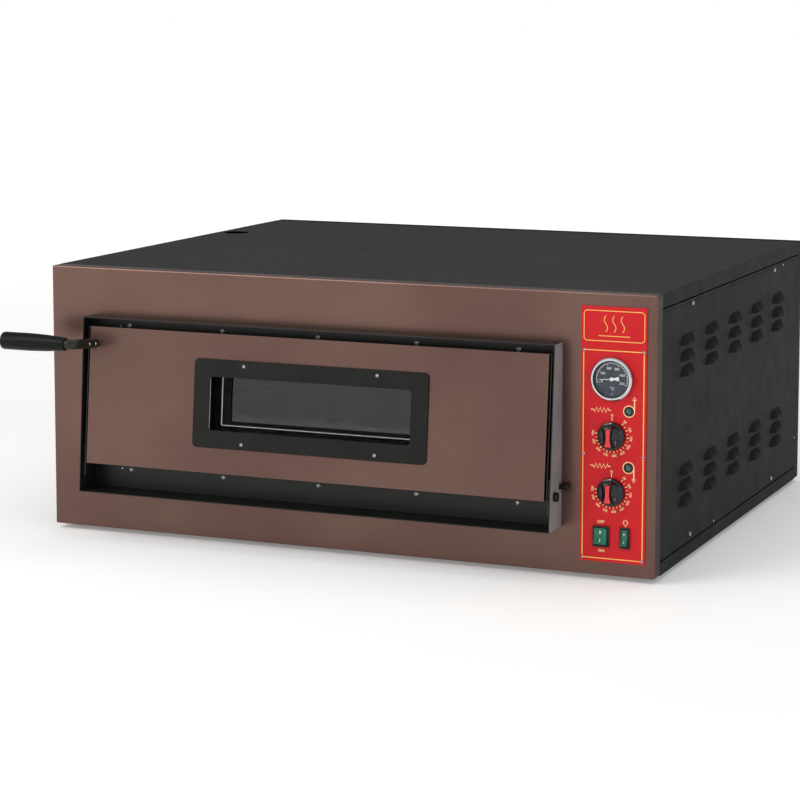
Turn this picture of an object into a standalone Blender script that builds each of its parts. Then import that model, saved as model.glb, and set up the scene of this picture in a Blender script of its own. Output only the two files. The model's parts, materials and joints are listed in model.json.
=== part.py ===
"""Countertop electric pizza oven with one baking chamber and a drop-down window door.

The oven frame has +X to the viewer's right, -Y out of the front and +Z up, in metres. Inside the
oven_frame empty the front face of the front panel lies at y = 0 and the lower edge of the casing at
z = 0. The empty itself stands so that the world origin is the middle of the bounding box's base.
"""

import math

import bmesh
import bpy
from mathutils import Euler, Matrix

# Overall sizes
BODY_WIDTH = 1.010
BODY_DEPTH = 0.850
BODY_HEIGHT = 0.420
FOOT_HEIGHT = 0.008

# Sheet thicknesses and clearances
PANEL_SHEET = 0.0015
CASE_SHEET = 0.0012
LINER_SHEET = 0.0012
TOUCH = 0.0003
LOOSE = 0.0006

# Casing
LIP = 0.026
EDGE_ROUND = 0.0020
SKIRT = 0.0215
RAIL = 0.0200
FOOT_RADIUS = 0.016
FOOT_INSET_X = 0.085
FOOT_INSET_Y = 0.110
FOOT_STEM_RADIUS = 0.004
FOOT_STEM = 0.006
VENT_RADIUS = 0.0225
VENT_FROM_LEFT = 0.034
VENT_FROM_BACK = 0.260

# Side louvres
LOUVRE_COLUMNS = 5
LOUVRE_ROWS = 3
LOUVRE_PITCH_Y = 0.1335
LOUVRE_PITCH_Z = 0.0237
LOUVRE_LENGTH = 0.084
LOUVRE_HEIGHT = 0.0135
LOUVRE_DEPTH = 0.0085
LOUVRE_UPPER_Z = BODY_HEIGHT - 0.1060
LOUVRE_LOWER_Z = 0.1160
LOUVRE_WALL = 0.0012

# Control fascia's place, which the collar keeps clear of
FASCIA_WIDTH = 0.1008
FASCIA_FROM_RIGHT = 0.0146
FASCIA_FROM_BOTTOM = 0.021
FASCIA_FROM_TOP = 0.019
FASCIA_X = BODY_WIDTH / 2 - FASCIA_FROM_RIGHT - FASCIA_WIDTH / 2

# Mouth and collar
COLLAR_FROM_LEFT = 0.0755
COLLAR_TO_FASCIA = 0.0291
COLLAR_WIDTH = BODY_WIDTH - COLLAR_FROM_LEFT - COLLAR_TO_FASCIA - FASCIA_WIDTH - FASCIA_FROM_RIGHT
MOUTH_X = -BODY_WIDTH / 2 + COLLAR_FROM_LEFT + COLLAR_WIDTH / 2
COLLAR_LOW = 0.0680
COLLAR_FROM_TOP = 0.0750
COLLAR_HIGH = BODY_HEIGHT - COLLAR_FROM_TOP
COLLAR_TOP_DEPTH = 0.034
COLLAR_BOTTOM_DEPTH = 0.055
COLLAR_SHEET = 0.0015
MOUTH_SIDE = 0.045
MOUTH_WIDTH = COLLAR_WIDTH - 2 * MOUTH_SIDE
MOUTH_SILL = 0.072
MOUTH_LINTEL = 0.055
MOUTH_LOW = COLLAR_LOW + MOUTH_SILL
MOUTH_HIGH = COLLAR_HIGH - MOUTH_LINTEL

# Door, in a frame that leans back about its hinge axis
HINGE_OUT = 0.034
HINGE_RISE = 0.051
HINGE_Z = COLLAR_LOW + HINGE_RISE
SKIN_SIDE_CLEAR = 0.0105
SKIN_WIDTH = COLLAR_WIDTH - 2 * SKIN_SIDE_CLEAR
SKIN_TOP_CLEAR = 0.0154
SKIN_BELOW = 0.0064
SKIN_ABOVE = COLLAR_HIGH - HINGE_Z - SKIN_TOP_CLEAR
SKIN_FRONT = 0.0145
DOOR_SHEET = 0.0015
FRAME_OVERHANG = 0.0040
FRAME_BACK = 0.0080
FRAME_TOP_CLEAR = 0.0047
EAR_SHEET = 0.0030
EAR_BELOW = 0.0270
EAR_ABOVE = 0.0250
EAR_FRONT = 0.0100
EAR_BACK = 0.0060
INNER_PANEL_MARGIN = 0.016
INSULATION_EDGE = 0.0080
HINGE_PIN_RADIUS = 0.0040
HINGE_HEAD_STEP = 0.0032
HINGE_HEAD = 0.0060
HINGE_PIN_END = 0.0010
STOP_RADIUS = 0.0045
STOP_OUT = 0.0120
STOP_BACK = 0.0250
STOP_UP = EAR_BACK + STOP_RADIUS + 0.0007
DOOR_LEAN = math.asin((HINGE_OUT - FRAME_BACK - COLLAR_SHEET - TOUCH - FRAME_TOP_CLEAR) / SKIN_ABOVE)

# Door window
WINDOW_WIDTH = 0.338
WINDOW_HEIGHT = 0.0835
WINDOW_BORDER = 0.0275
WINDOW_PLATE = 0.0022
WINDOW_CORNER = 0.0060
SLEEVE_WALL = 0.0012
SLEEVE_BACK = 0.0135
GLASS = 0.0040
GLASS_LAND = 0.0080

# Handle
ROD_RADIUS = 0.0078
ROD_BEND = 0.0130
ROD_REACH = 0.0668
ROD_BELOW_TOP = 0.0266
ROD_UP = SKIN_ABOVE - ROD_BELOW_TOP
ROD_FROM_EDGE = 0.0080
GRIP_LENGTH = 0.122
GRIP_END_RADIUS = 0.0140
GRIP_CLEAR = 0.0008
GRIP_NECK_WALL = 0.0022
GRIP_NECK_RADIUS = ROD_RADIUS + GRIP_CLEAR + GRIP_NECK_WALL
GRIP_HEAD_WALL = 0.0080
HANDLE_SCREW_RADIUS = 0.0026
HANDLE_SCREW_DEPTHS = (0.0085, 0.0275)
HANDLE_SCREW_LENGTH = 0.0040

# Controls on the fascia
FASCIA_LOW = FASCIA_FROM_BOTTOM
FASCIA_HIGH = BODY_HEIGHT - FASCIA_FROM_TOP
FASCIA_SHEET = 0.0015
CONTROL_X = FASCIA_X - 0.0018
LAMP_X = FASCIA_X + 0.0240
THERMOMETER_BELOW_TOP = 0.1063
THERMOMETER_Z = FASCIA_HIGH - THERMOMETER_BELOW_TOP
UPPER_KNOB_BELOW = 0.0846
KNOB_PITCH = 0.0835
UPPER_KNOB_Z = THERMOMETER_Z - UPPER_KNOB_BELOW
LOWER_KNOB_Z = UPPER_KNOB_Z - KNOB_PITCH
LAMP_RISE = 0.0378
LAMP_RADIUS = 0.0056
LAMP_FLANGE = 0.0012
LAMP_FLANGE_RADIUS = LAMP_RADIUS + LAMP_FLANGE
LAMP_DOME = 0.0036
LAMP_DEPTH = 0.022
DIAL_CAN_RADIUS = 0.0255
DIAL_PLATE_STEP = 0.0035
BEZEL_WALL = 0.0027
BEZEL_RADIUS = DIAL_CAN_RADIUS + DIAL_PLATE_STEP + TOUCH + BEZEL_WALL
BEZEL_DEPTH = 0.0080
BEZEL_LIP = 0.0040
BEZEL_ROUND = 0.0016
BEZEL_SHEET = 0.0010
LENS = 0.0012
DIAL_PLATE = 0.0014
DIAL_CAN_DEPTH = 0.036
NEEDLE_LEVEL = 0.0034
NEEDLE_LENGTH = 0.0200
NEEDLE_HALF = 0.0006
NEEDLE_TAIL = 0.0110
NEEDLE_TAIL_HALF = 0.0033
NEEDLE_SHEET = 0.0006
NEEDLE_HUB_RADIUS = 0.0028
NEEDLE_HUB = 0.0024
NEEDLE_REST = math.radians(-5)
KNOB_RADIUS = 0.0210
KNOB_SKIRT = 0.0075
KNOB_GRIP = 0.0125
KNOB_GRIP_WIDTH = 0.0100
SHAFT_RADIUS = 0.0030
SHAFT_REACH = 0.0150
SHAFT_ROOT = 0.004
KNOB_SOCKET_WALL = 0.0018
KNOB_BAR_ROUND = 0.0020
THERMOSTAT_SIZE = 0.042
THERMOSTAT_DEPTH = 0.034
MAIN_SWITCH_X = FASCIA_X - 0.0170
LIGHT_SWITCH_X = FASCIA_X + 0.0200
SWITCH_Z = FASCIA_LOW + 0.0380
MAIN_SWITCH_WIDTH = 0.0252
LIGHT_SWITCH_WIDTH = 0.0151
SWITCH_HEIGHT = 0.0312
SWITCH_RIM = 0.0024
SWITCH_FLANGE = 0.0030
SWITCH_BODY_DEPTH = 0.026
SWITCH_LAP = 0.0018
SWITCH_WELL = 0.0080
ROCKER_TILT = math.radians(9)
ROCKER_PIVOT_IN = 0.0030
ROCKER_PROUD = 0.0063
ROCKER_DISH = 0.0018
ROCKER_BACK = 0.0016
ROCKER_KEEL = 0.0042
ROCKER_END_CLEAR = 0.0012

# Baking chamber
LINER_STEP = 0.010
LINER_WIDTH = MOUTH_WIDTH + 2 * LINER_STEP
LINER_HIGH = MOUTH_HIGH + LINER_STEP
LINER_BELOW_SILL = 0.035
LINER_LOW = MOUTH_LOW - LINER_BELOW_SILL
LINER_FROM_BACK = 0.092
LINER_DEPTH = BODY_DEPTH - LINER_FROM_BACK
LINER_FLANGE = 0.015
STONE_ABOVE_SILL = 0.010
STONE_TOP = MOUTH_LOW + STONE_ABOVE_SILL
STONE_THICKNESS = 0.016
STONE_FRONT = 0.012
STONE_BACK_CLEAR = 0.031
STONE_DEPTH = LINER_DEPTH - STONE_FRONT - STONE_BACK_CLEAR
STONE_JOINT = 0.0010
STONE_CHAMFER = 0.0015
RACK_BAR = 0.0070
RACK_CROSS = 0.0050
ELEMENT_RADIUS = 0.0040
ELEMENT_RUNS = 4
ELEMENT_SIDE_CLEAR = 0.045
ELEMENT_PITCH = (LINER_WIDTH / 2 - 2 * ELEMENT_SIDE_CLEAR) / (ELEMENT_RUNS - 1)
ELEMENT_FRONT = 0.060
ELEMENT_TURN_BACK = LINER_DEPTH - 0.078
ELEMENT_TAIL = BODY_DEPTH - 0.038
LOWER_ELEMENT_Z = LINER_LOW + 0.0160
UPPER_ELEMENT_Z = LINER_HIGH - 0.0150
INSULATION_TOP_CLEAR = 0.035
INSULATION_BOTTOM_CLEAR = 0.025
INSULATION_LEFT_CLEAR = 0.0255
INSULATION_RIGHT = 0.022
INSULATION_BACK = 0.040
CHAMBER_LAMP_Y = 0.170
CHAMBER_LAMP_Z = (STONE_TOP + LINER_HIGH) / 2 + 0.010
CHAMBER_LAMP_RADIUS = 0.0165
CHAMBER_LAMP_REACH = 0.020
CHAMBER_LAMP_SEAT = 0.028
CHAMBER_LAMP_WALL = 0.0022
CHAMBER_HOLDER_DEPTH = 0.065
CHAMBER_HOLDER_BORE = 0.030
CHAMBER_HOLDER_WALL = 0.0040
CHAMBER_HOLDER_FLANGE = 0.0075
CHAMBER_HOLDER_LIP = 0.0035
HOLDER_CLEAR = 0.0010

# Back
GLAND_X = BODY_WIDTH / 2 - 0.075
GLAND_Z = 0.055
GLAND_RADIUS = 0.0125
GLAND_HEX_RADIUS = 0.0165
GLAND_LENGTH = 0.030
GLAND_HEX = 0.008
GLAND_CHAMFER = 0.003
GLAND_INSIDE = 0.012
GLAND_CORE_RADIUS = 0.0070
TERMINAL_WIDTH = 0.070
TERMINAL_HEIGHT = 0.026
TERMINAL_DEPTH = 0.034
TERMINAL_WAYS = 5
TERMINAL_FROM_LIP = 0.030
BACK_SLOT_COUNT = 9
BACK_SLOT_LENGTH = 0.060
BACK_SLOT_HEIGHT = 0.0060
BACK_SLOT_PITCH = 0.016

CUT = 0.004

FINISHES = {
    "bronze_metallic": ("73564E", 0.38, 0.85),
    "satin_black": ("2C2C2A", 0.45, 0.20),
    "gloss_black": ("1A1A19", 0.30, 0.00),
    "fascia_red": ("CC2428", 0.35, 0.00),
    "chrome": ("C8CACC", 0.12, 1.00),
    "zinc_steel": ("A8AAAC", 0.30, 1.00),
    "stainless": ("9A9A98", 0.32, 1.00),
    "aluminised_steel": ("8E9092", 0.45, 0.90),
    "dial_slate": ("2B3338", 0.50, 0.00),
    "needle_white": ("F0F0EC", 0.45, 0.00),
    "glass_clear": ("D8DDDC", 0.05, 0.00),
    "glass_smoked": ("4A4A48", 0.08, 0.00),
    "lamp_green": ("0F5A46", 0.20, 0.00),
    "rocker_green": ("1E8060", 0.28, 0.00),
    "refractory_stone": ("C9B393", 0.95, 0.00),
    "rock_wool": ("B7A36B", 1.00, 0.00),
    "heater_sheath": ("55504A", 0.50, 0.80),
    "rubber": ("141414", 0.85, 0.00),
    "switch_white": ("E6E4DC", 0.50, 0.00),
}

FACE_FRONT = (math.pi / 2, 0.0, 0.0)
FACE_SIDE = (math.pi / 2, 0.0, math.pi / 2)
AXIS_OUT = (math.pi / 2, 0.0, 0.0)
AXIS_LEFT = (0.0, -math.pi / 2, 0.0)
AXIS_RIGHT = (0.0, math.pi / 2, 0.0)


# ---- helpers ----

def clear_scene():
    for old in list(bpy.data.objects):
        bpy.data.objects.remove(old, do_unlink=True)


def linear(channel):
    value = int(channel, 16) / 255
    if value <= 0.04045:
        return value / 12.92
    return ((value + 0.055) / 1.055) ** 2.4


def finish_material(object_name, finish):
    colour, roughness, metallic = FINISHES[finish]
    made = bpy.data.materials.new(f"{object_name}_{finish}")
    made.use_nodes = True
    shader = made.node_tree.nodes["Principled BSDF"]
    rgb = [linear(colour[i:i + 2]) for i in (0, 2, 4)]
    shader.inputs["Base Color"].default_value = (*rgb, 1.0)
    shader.inputs["Roughness"].default_value = roughness
    shader.inputs["Metallic"].default_value = metallic
    made.diffuse_color = (*rgb, 1.0)
    return made


def place(name, mesh, finish, location, parent, rotation=(0.0, 0.0, 0.0)):
    """Put a mesh in the model as a part, or as a cutter where the finish is None."""
    made = bpy.data.objects.new(name, mesh)
    if finish is None:
        CUTTERS.objects.link(made)
        made.hide_render = True
        made.display_type = "WIRE"
    else:
        PARTS.objects.link(made)
        mesh.materials.append(finish_material(name, finish))
    made.location = location
    made.rotation_euler = rotation
    made.parent = parent
    return made


def bm_to_mesh(name, bm):
    mesh = bpy.data.meshes.new(name)
    bmesh.ops.recalc_face_normals(bm, faces=bm.faces)
    bm.to_mesh(mesh)
    bm.free()
    return mesh


def smooth(made, angle=math.radians(35)):
    made.data.shade_smooth()
    made.data.set_sharp_from_angle(angle=angle)
    return made


def box(name, finish, low, high, parent):
    """A box between two opposite corners, with its origin at its middle."""
    size = [h - l for l, h in zip(low, high)]
    centre = [(h + l) / 2 for l, h in zip(low, high)]
    bm = bmesh.new()
    bmesh.ops.create_cube(bm, size=1.0)
    bmesh.ops.scale(bm, vec=size, verts=bm.verts)
    return place(name, bm_to_mesh(name, bm), finish, centre, parent)


def boxes(name, finish, corners, parent):
    """Several separate boxes in one mesh, for cutting or joining a pattern at once."""
    bm = bmesh.new()
    for low, high in corners:
        size = [h - l for l, h in zip(low, high)]
        centre = [(h + l) / 2 for l, h in zip(low, high)]
        made = bmesh.ops.create_cube(bm, size=1.0)["verts"]
        bmesh.ops.scale(bm, vec=size, verts=made)
        bmesh.ops.translate(bm, vec=centre, verts=made)
    return place(name, bm_to_mesh(name, bm), finish, (0, 0, 0), parent)


def cylinder(name, finish, radius, length, middle, parent, rotation=AXIS_OUT, segments=32):
    bm = bmesh.new()
    bmesh.ops.create_cone(bm, cap_ends=True, segments=segments,
                          radius1=radius, radius2=radius, depth=length)
    return smooth(place(name, bm_to_mesh(name, bm), finish, middle, parent, rotation))


def turned(name, finish, profile, location, parent, rotation=AXIS_OUT, steps=32, ring=False):
    """Spin a (radius, height) profile, which runs down its outer side, about the local Z axis."""
    mesh = bpy.data.meshes.new(name)
    verts = [(radius, 0.0, height) for radius, height in profile]
    edges = [(i, i + 1) for i in range(len(profile) - 1)]
    if ring:
        edges.append((len(profile) - 1, 0))
    mesh.from_pydata(verts, edges, [])
    made = place(name, mesh, finish, location, parent, rotation)
    screw = made.modifiers.new("spin", "SCREW")
    screw.steps = steps
    screw.render_steps = steps
    screw.use_merge_vertices = True
    screw.merge_threshold = 0.00001
    screw.use_smooth_shade = False
    return made


def circle(x, z, radius, count=28):
    return [(x + radius * math.cos(2 * math.pi * i / count),
             z + radius * math.sin(2 * math.pi * i / count)) for i in range(count)]


def rectangle(x0, x1, z0, z1):
    return [(x0, z0), (x1, z0), (x1, z1), (x0, z1)]


def rounded_rectangle(width, height, radius, steps=5, x=0.0, z=0.0):
    corners = ((1, 1, 0), (-1, 1, 1), (-1, -1, 2), (1, -1, 3))
    points = []
    for side_x, side_z, quarter in corners:
        for step in range(steps + 1):
            angle = (quarter + step / steps) * math.pi / 2
            points.append((x + side_x * (width / 2 - radius) + radius * math.cos(angle),
                           z + side_z * (height / 2 - radius) + radius * math.sin(angle)))
    return points


def outline_mesh(name, outlines, thickness):
    """A filled flat outline of the given thickness; an outline inside another is a hole."""
    curve = bpy.data.curves.new(name, "CURVE")
    curve.dimensions = "2D"
    curve.fill_mode = "BOTH"
    curve.extrude = thickness / 2
    for points in outlines:
        spline = curve.splines.new("POLY")
        spline.points.add(len(points) - 1)
        spline.use_cyclic_u = True
        for point, (x, y) in zip(spline.points, points):
            point.co = (x, y, 0.0, 1.0)
    return curve_to_mesh(name, curve)


def curve_to_mesh(name, curve):
    holder = bpy.data.objects.new(name + "_outline", curve)
    CUTTERS.objects.link(holder)
    graph = bpy.context.evaluated_depsgraph_get()
    mesh = bpy.data.meshes.new_from_object(holder.evaluated_get(graph))
    bpy.data.objects.remove(holder, do_unlink=True)
    bm = bmesh.new()
    bm.from_mesh(mesh)
    bpy.data.meshes.remove(mesh)
    bmesh.ops.remove_doubles(bm, verts=bm.verts, dist=0.000002)
    return bm_to_mesh(name, bm)


def sheet(name, finish, outlines, thickness, location, parent, rotation=FACE_FRONT):
    return place(name, outline_mesh(name, outlines, thickness), finish, location, parent, rotation)


def tube(name, finish, points, radius, parent, location=(0, 0, 0), resolution=2):
    """A round bar along a list of points, with flat ends."""
    curve = bpy.data.curves.new(name, "CURVE")
    curve.dimensions = "3D"
    curve.bevel_depth = radius
    curve.bevel_resolution = resolution
    curve.use_fill_caps = True
    spline = curve.splines.new("POLY")
    spline.points.add(len(points) - 1)
    for point, (x, y, z) in zip(spline.points, points):
        point.co = (x, y, z, 1.0)
    return smooth(place(name, curve_to_mesh(name, curve), finish, location, parent))


def boolean(made, other, operation):
    modifier = made.modifiers.new(f"{operation.lower()}_{other.name}", "BOOLEAN")
    modifier.operation = operation
    modifier.solver = "EXACT"
    modifier.object = other
    return made


def cut(made, cutter):
    return boolean(made, cutter, "DIFFERENCE")


def join(made, other):
    return boolean(made, other, "UNION")


def bevel(made, width, segments=2):
    modifier = made.modifiers.new("edges", "BEVEL")
    modifier.width = width
    modifier.segments = segments
    modifier.limit_method = "ANGLE"
    return made


def empty(name, location, parent=None, rotation=(0.0, 0.0, 0.0)):
    made = bpy.data.objects.new(name, None)
    PARTS.objects.link(made)
    made.location = location
    made.rotation_euler = rotation
    made.parent = parent
    return made


# ---- casing ----

def control_holes():
    """Outlines, in X and Z, of the holes that the controls share in fascia and front panel."""
    holes = [circle(CONTROL_X, THERMOMETER_Z, DIAL_CAN_RADIUS + LOOSE)]
    for knob_z in (UPPER_KNOB_Z, LOWER_KNOB_Z):
        holes.append(circle(CONTROL_X, knob_z, SHAFT_RADIUS + LOOSE * 2, 16))
        holes.append(circle(LAMP_X, knob_z + LAMP_RISE, LAMP_RADIUS + TOUCH, 16))
    for x, width in ((MAIN_SWITCH_X, MAIN_SWITCH_WIDTH), (LIGHT_SWITCH_X, LIGHT_SWITCH_WIDTH)):
        half = width / 2 - SWITCH_LAP + TOUCH
        tall = SWITCH_HEIGHT / 2 - SWITCH_LAP + TOUCH
        holes.append(rectangle(x - half, x + half, SWITCH_Z - tall, SWITCH_Z + tall))
    return holes


def mouth_outline(margin=0.0):
    half = MOUTH_WIDTH / 2 + margin
    return rectangle(MOUTH_X - half, MOUTH_X + half, MOUTH_LOW - margin, MOUTH_HIGH + margin)


def round_away_from_rim(made, direction):
    """Round every edge of a panel box except the four of its rim, which faces direction in y."""
    bm = bmesh.new()
    bm.from_mesh(made.data)
    rim = max(direction * vert.co.y for vert in bm.verts)
    kept = [edge for edge in bm.edges
            if min(direction * vert.co.y for vert in edge.verts) < rim - EDGE_ROUND]
    bmesh.ops.bevel(bm, geom=kept, offset=EDGE_ROUND, offset_type="OFFSET", segments=2,
                    profile=0.5, affect="EDGES")
    bm.to_mesh(made.data)
    bm.free()


def pan(name, finish, y_face, y_rim, parent):
    """A casing end panel: a full-size face with a folded lip all round, open at y_rim."""
    low_y = min(y_face, y_rim)
    high_y = max(y_face, y_rim)
    half = BODY_WIDTH / 2
    made = box(name, finish, (-half, low_y, 0), (half, high_y, BODY_HEIGHT), parent)
    direction = 1 if y_rim > y_face else -1
    round_away_from_rim(made, direction)
    inner = sorted((y_face + direction * PANEL_SHEET, y_rim + direction * CUT))
    hollow = box(name + "_hollow", None,
                 (-half + PANEL_SHEET, inner[0], PANEL_SHEET),
                 (half - PANEL_SHEET, inner[1], BODY_HEIGHT - PANEL_SHEET), parent)
    return cut(made, hollow)


def front_panel(frame):
    made = pan("front_panel", "bronze_metallic", 0.0, LIP, frame)
    openings = [mouth_outline(LOOSE), *control_holes()]
    cutter = sheet("front_panel_openings", None, openings, 2 * CUT, (0, PANEL_SHEET / 2, 0), frame)
    return cut(made, cutter)


def back_panel(frame):
    made = pan("back_panel", "satin_black", BODY_DEPTH, BODY_DEPTH - LIP, frame)
    outlines = [circle(GLAND_X, GLAND_Z, GLAND_RADIUS + TOUCH)]
    for column in (-1, 1):
        for row in range(BACK_SLOT_COUNT):
            z = BODY_HEIGHT / 2 + (row - (BACK_SLOT_COUNT - 1) / 2) * BACK_SLOT_PITCH
            x = column * BODY_WIDTH / 4
            outlines.append(rounded_rectangle(BACK_SLOT_LENGTH, BACK_SLOT_HEIGHT,
                                              BACK_SLOT_HEIGHT / 2 - TOUCH, 3, x, z))
    cutter = sheet("back_panel_openings", None, outlines, 4 * CUT, (0, BODY_DEPTH, 0), frame)
    return cut(made, cutter)


def between_lips():
    return LIP + TOUCH, BODY_DEPTH - LIP - TOUCH


def top_cover(frame):
    front, back = between_lips()
    half = BODY_WIDTH / 2
    made = box("top_cover", "satin_black", (-half, front, BODY_HEIGHT - SKIRT),
               (half, back, BODY_HEIGHT), frame)
    hollow = box("top_cover_hollow", None, (-half + CASE_SHEET, front - CUT, BODY_HEIGHT - SKIRT - CUT),
                 (half - CASE_SHEET, back + CUT, BODY_HEIGHT - CASE_SHEET), frame)
    cut(made, hollow)
    vent = cylinder("top_cover_vent", None, VENT_RADIUS, 4 * CUT,
                    (-half + VENT_FROM_LEFT, BODY_DEPTH - VENT_FROM_BACK, BODY_HEIGHT), frame,
                    rotation=(0, 0, 0))
    return cut(made, vent)


def base_pan(frame):
    front, back = between_lips()
    half = BODY_WIDTH / 2
    made = box("base_pan", "satin_black", (-half, front, 0), (half, back, RAIL), frame)
    hollow = box("base_pan_hollow", None, (-half + CASE_SHEET, front - CUT, CASE_SHEET),
                 (half - CASE_SHEET, back + CUT, RAIL + CUT), frame)
    cut(made, hollow)
    holes = [circle(x, y, FOOT_STEM_RADIUS + TOUCH, 16) for x, y in foot_places()]
    cutter = sheet("base_pan_foot_holes", None, holes, 4 * CUT, (0, 0, 0), frame, (0, 0, 0))
    return cut(made, cutter)


def foot_places():
    return [(side_x * (BODY_WIDTH / 2 - FOOT_INSET_X), y)
            for side_x in (-1, 1) for y in (FOOT_INSET_Y, BODY_DEPTH - FOOT_INSET_Y)]


def feet(frame):
    names = ("foot_front_left", "foot_back_left", "foot_front_right", "foot_back_right")
    taper = FOOT_RADIUS * 0.88
    for name, (x, y) in zip(names, foot_places()):
        profile = [(0, CASE_SHEET + FOOT_STEM), (FOOT_STEM_RADIUS, CASE_SHEET + FOOT_STEM),
                   (FOOT_STEM_RADIUS, -TOUCH), (FOOT_RADIUS, -TOUCH),
                   (taper, -FOOT_HEIGHT), (0, -FOOT_HEIGHT)]
        turned(name, "rubber", profile, (x, y, 0), frame, rotation=(0, 0, 0), steps=24)


def louvre_wedges(name, finish, side, inset, frame):
    """One wedge for each louvre on a side panel; inset shrinks it to the hollow of the hood."""
    outer_x = BODY_WIDTH / 2
    rows = [group + (row - (LOUVRE_ROWS - 1) / 2) * LOUVRE_PITCH_Z
            for group in (LOUVRE_UPPER_Z, LOUVRE_LOWER_Z) for row in range(LOUVRE_ROWS)]
    inner_x = outer_x - CASE_SHEET * (0.5 if inset == 0 else 3.0)
    outlines = []
    for z in rows:
        low = z - LOUVRE_HEIGHT / 2 - inset
        high = z + LOUVRE_HEIGHT / 2 - 1.6 * inset
        outlines.append([(side * inner_x, low), (side * (outer_x + LOUVRE_DEPTH - inset), low),
                         (side * outer_x, high), (side * inner_x, high)])
    length = LOUVRE_LENGTH - 2 * inset
    column = outline_mesh(name, outlines, length)
    bm = bmesh.new()
    for index in range(LOUVRE_COLUMNS):
        start = len(bm.verts)
        bm.from_mesh(column)
        bm.verts.ensure_lookup_table()
        offset = (index - (LOUVRE_COLUMNS - 1) / 2) * LOUVRE_PITCH_Y
        bmesh.ops.translate(bm, vec=(0, 0, offset), verts=bm.verts[start:])
    bpy.data.meshes.remove(column)
    mesh = bm_to_mesh(name, bm)
    return place(name, mesh, finish, (0, BODY_DEPTH / 2, 0), frame, FACE_FRONT)


def side_panel(name, side, frame):
    front, back = between_lips()
    outer = side * BODY_WIDTH / 2
    inner = side * (BODY_WIDTH / 2 - CASE_SHEET)
    made = box(name, "satin_black", (min(outer, inner), front, RAIL + TOUCH),
               (max(outer, inner), back, BODY_HEIGHT - SKIRT - TOUCH), frame)
    join(made, louvre_wedges(name + "_hoods", None, side, 0.0, frame))
    return cut(made, louvre_wedges(name + "_throats", None, side, LOUVRE_WALL, frame))


# ---- baking chamber ----

def liner_sides():
    return MOUTH_X - LINER_WIDTH / 2, MOUTH_X + LINER_WIDTH / 2


def element_places():
    """Centre X of each heating element's bay and the X of its two tails."""
    left, right = liner_sides()
    bays = []
    for low, high in ((left, MOUTH_X), (MOUTH_X, right)):
        centre = (low + high) / 2
        reach = (ELEMENT_RUNS - 1) / 2 * ELEMENT_PITCH
        bays.append((centre, centre - reach, centre + reach))
    return bays


def tail_outlines(radius):
    return [circle(x, z, radius, 12) for _, low, high in element_places()
            for x in (low, high) for z in (LOWER_ELEMENT_Z, UPPER_ELEMENT_Z)]


def chamber_liner(frame):
    left, right = liner_sides()
    front = PANEL_SHEET + TOUCH
    made = box("chamber_liner", "aluminised_steel", (left, front, LINER_LOW),
               (right, LINER_DEPTH, LINER_HIGH), frame)
    flange = box("chamber_liner_flange", None,
                 (left - LINER_FLANGE, front, LINER_LOW - LINER_FLANGE),
                 (right + LINER_FLANGE, front + LINER_SHEET, LINER_HIGH + LINER_FLANGE), frame)
    join(made, flange)
    hollow = box("chamber_liner_hollow", None,
                 (left + LINER_SHEET, front - CUT, LINER_LOW + LINER_SHEET),
                 (right - LINER_SHEET, LINER_DEPTH - LINER_SHEET, LINER_HIGH - LINER_SHEET), frame)
    cut(made, hollow)
    tails = sheet("chamber_liner_tail_holes", None, tail_outlines(ELEMENT_RADIUS + LOOSE), 4 * CUT,
                  (0, LINER_DEPTH, 0), frame)
    cut(made, tails)
    lamp = cylinder("chamber_liner_lamp_hole", None, CHAMBER_LAMP_RADIUS + LOOSE, 4 * CUT,
                    (right, CHAMBER_LAMP_Y, CHAMBER_LAMP_Z), frame, rotation=AXIS_RIGHT, segments=24)
    return cut(made, lamp)


def stone_rack(frame):
    left, right = liner_sides()
    low = LINER_LOW + LINER_SHEET + TOUCH
    high = STONE_TOP - STONE_THICKNESS - TOUCH
    start = STONE_FRONT
    end = STONE_FRONT + STONE_DEPTH
    inset = LINER_SHEET + TOUCH
    bars = (left + inset, MOUTH_X - RACK_BAR / 2, right - inset - RACK_BAR)
    made = box("stone_rack", "heater_sheath", (bars[0], start, low), (bars[0] + RACK_BAR, end, high), frame)
    for index, x in enumerate(bars[1:]):
        join(made, box(f"stone_rack_bar_{index}", None, (x, start, low), (x + RACK_BAR, end, high), frame))
    for index, y in enumerate((start + RACK_BAR, end - 2 * RACK_BAR)):
        cross = box(f"stone_rack_cross_{index}", None, (bars[0] + RACK_BAR / 2, y, low + TOUCH),
                    (bars[2] + RACK_BAR / 2, y + RACK_BAR, low + RACK_CROSS), frame)
        join(made, cross)
    return made


def baking_stones(frame):
    left, right = liner_sides()
    inset = LINER_SHEET + STONE_JOINT
    spans = {"baking_stone_left": (left + inset, MOUTH_X - STONE_JOINT / 2),
             "baking_stone_right": (MOUTH_X + STONE_JOINT / 2, right - inset)}
    for name, (low_x, high_x) in spans.items():
        made = box(name, "refractory_stone", (low_x, STONE_FRONT, STONE_TOP - STONE_THICKNESS),
                   (high_x, STONE_FRONT + STONE_DEPTH, STONE_TOP), frame)
        bevel(made, STONE_CHAMFER, 1)


def element_path(centre, z):
    """Serpentine of parallel runs whose two tails leave through the back wall."""
    half = ELEMENT_PITCH / 2
    reach = (ELEMENT_RUNS - 1) / 2 * ELEMENT_PITCH
    points = [(centre - reach, ELEMENT_TAIL, z)]
    for run in range(ELEMENT_RUNS - 1):
        forward = run % 2 == 0
        turn_y = ELEMENT_FRONT + half if forward else ELEMENT_TURN_BACK - half
        middle = centre - reach + (run + 0.5) * ELEMENT_PITCH
        for step in range(7):
            angle = math.pi * step / 6
            bow = half * math.sin(angle) * (-1 if forward else 1)
            points.append((middle - half * math.cos(angle), turn_y + bow, z))
    points.append((centre + reach, ELEMENT_TAIL, z))
    return points


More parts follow.
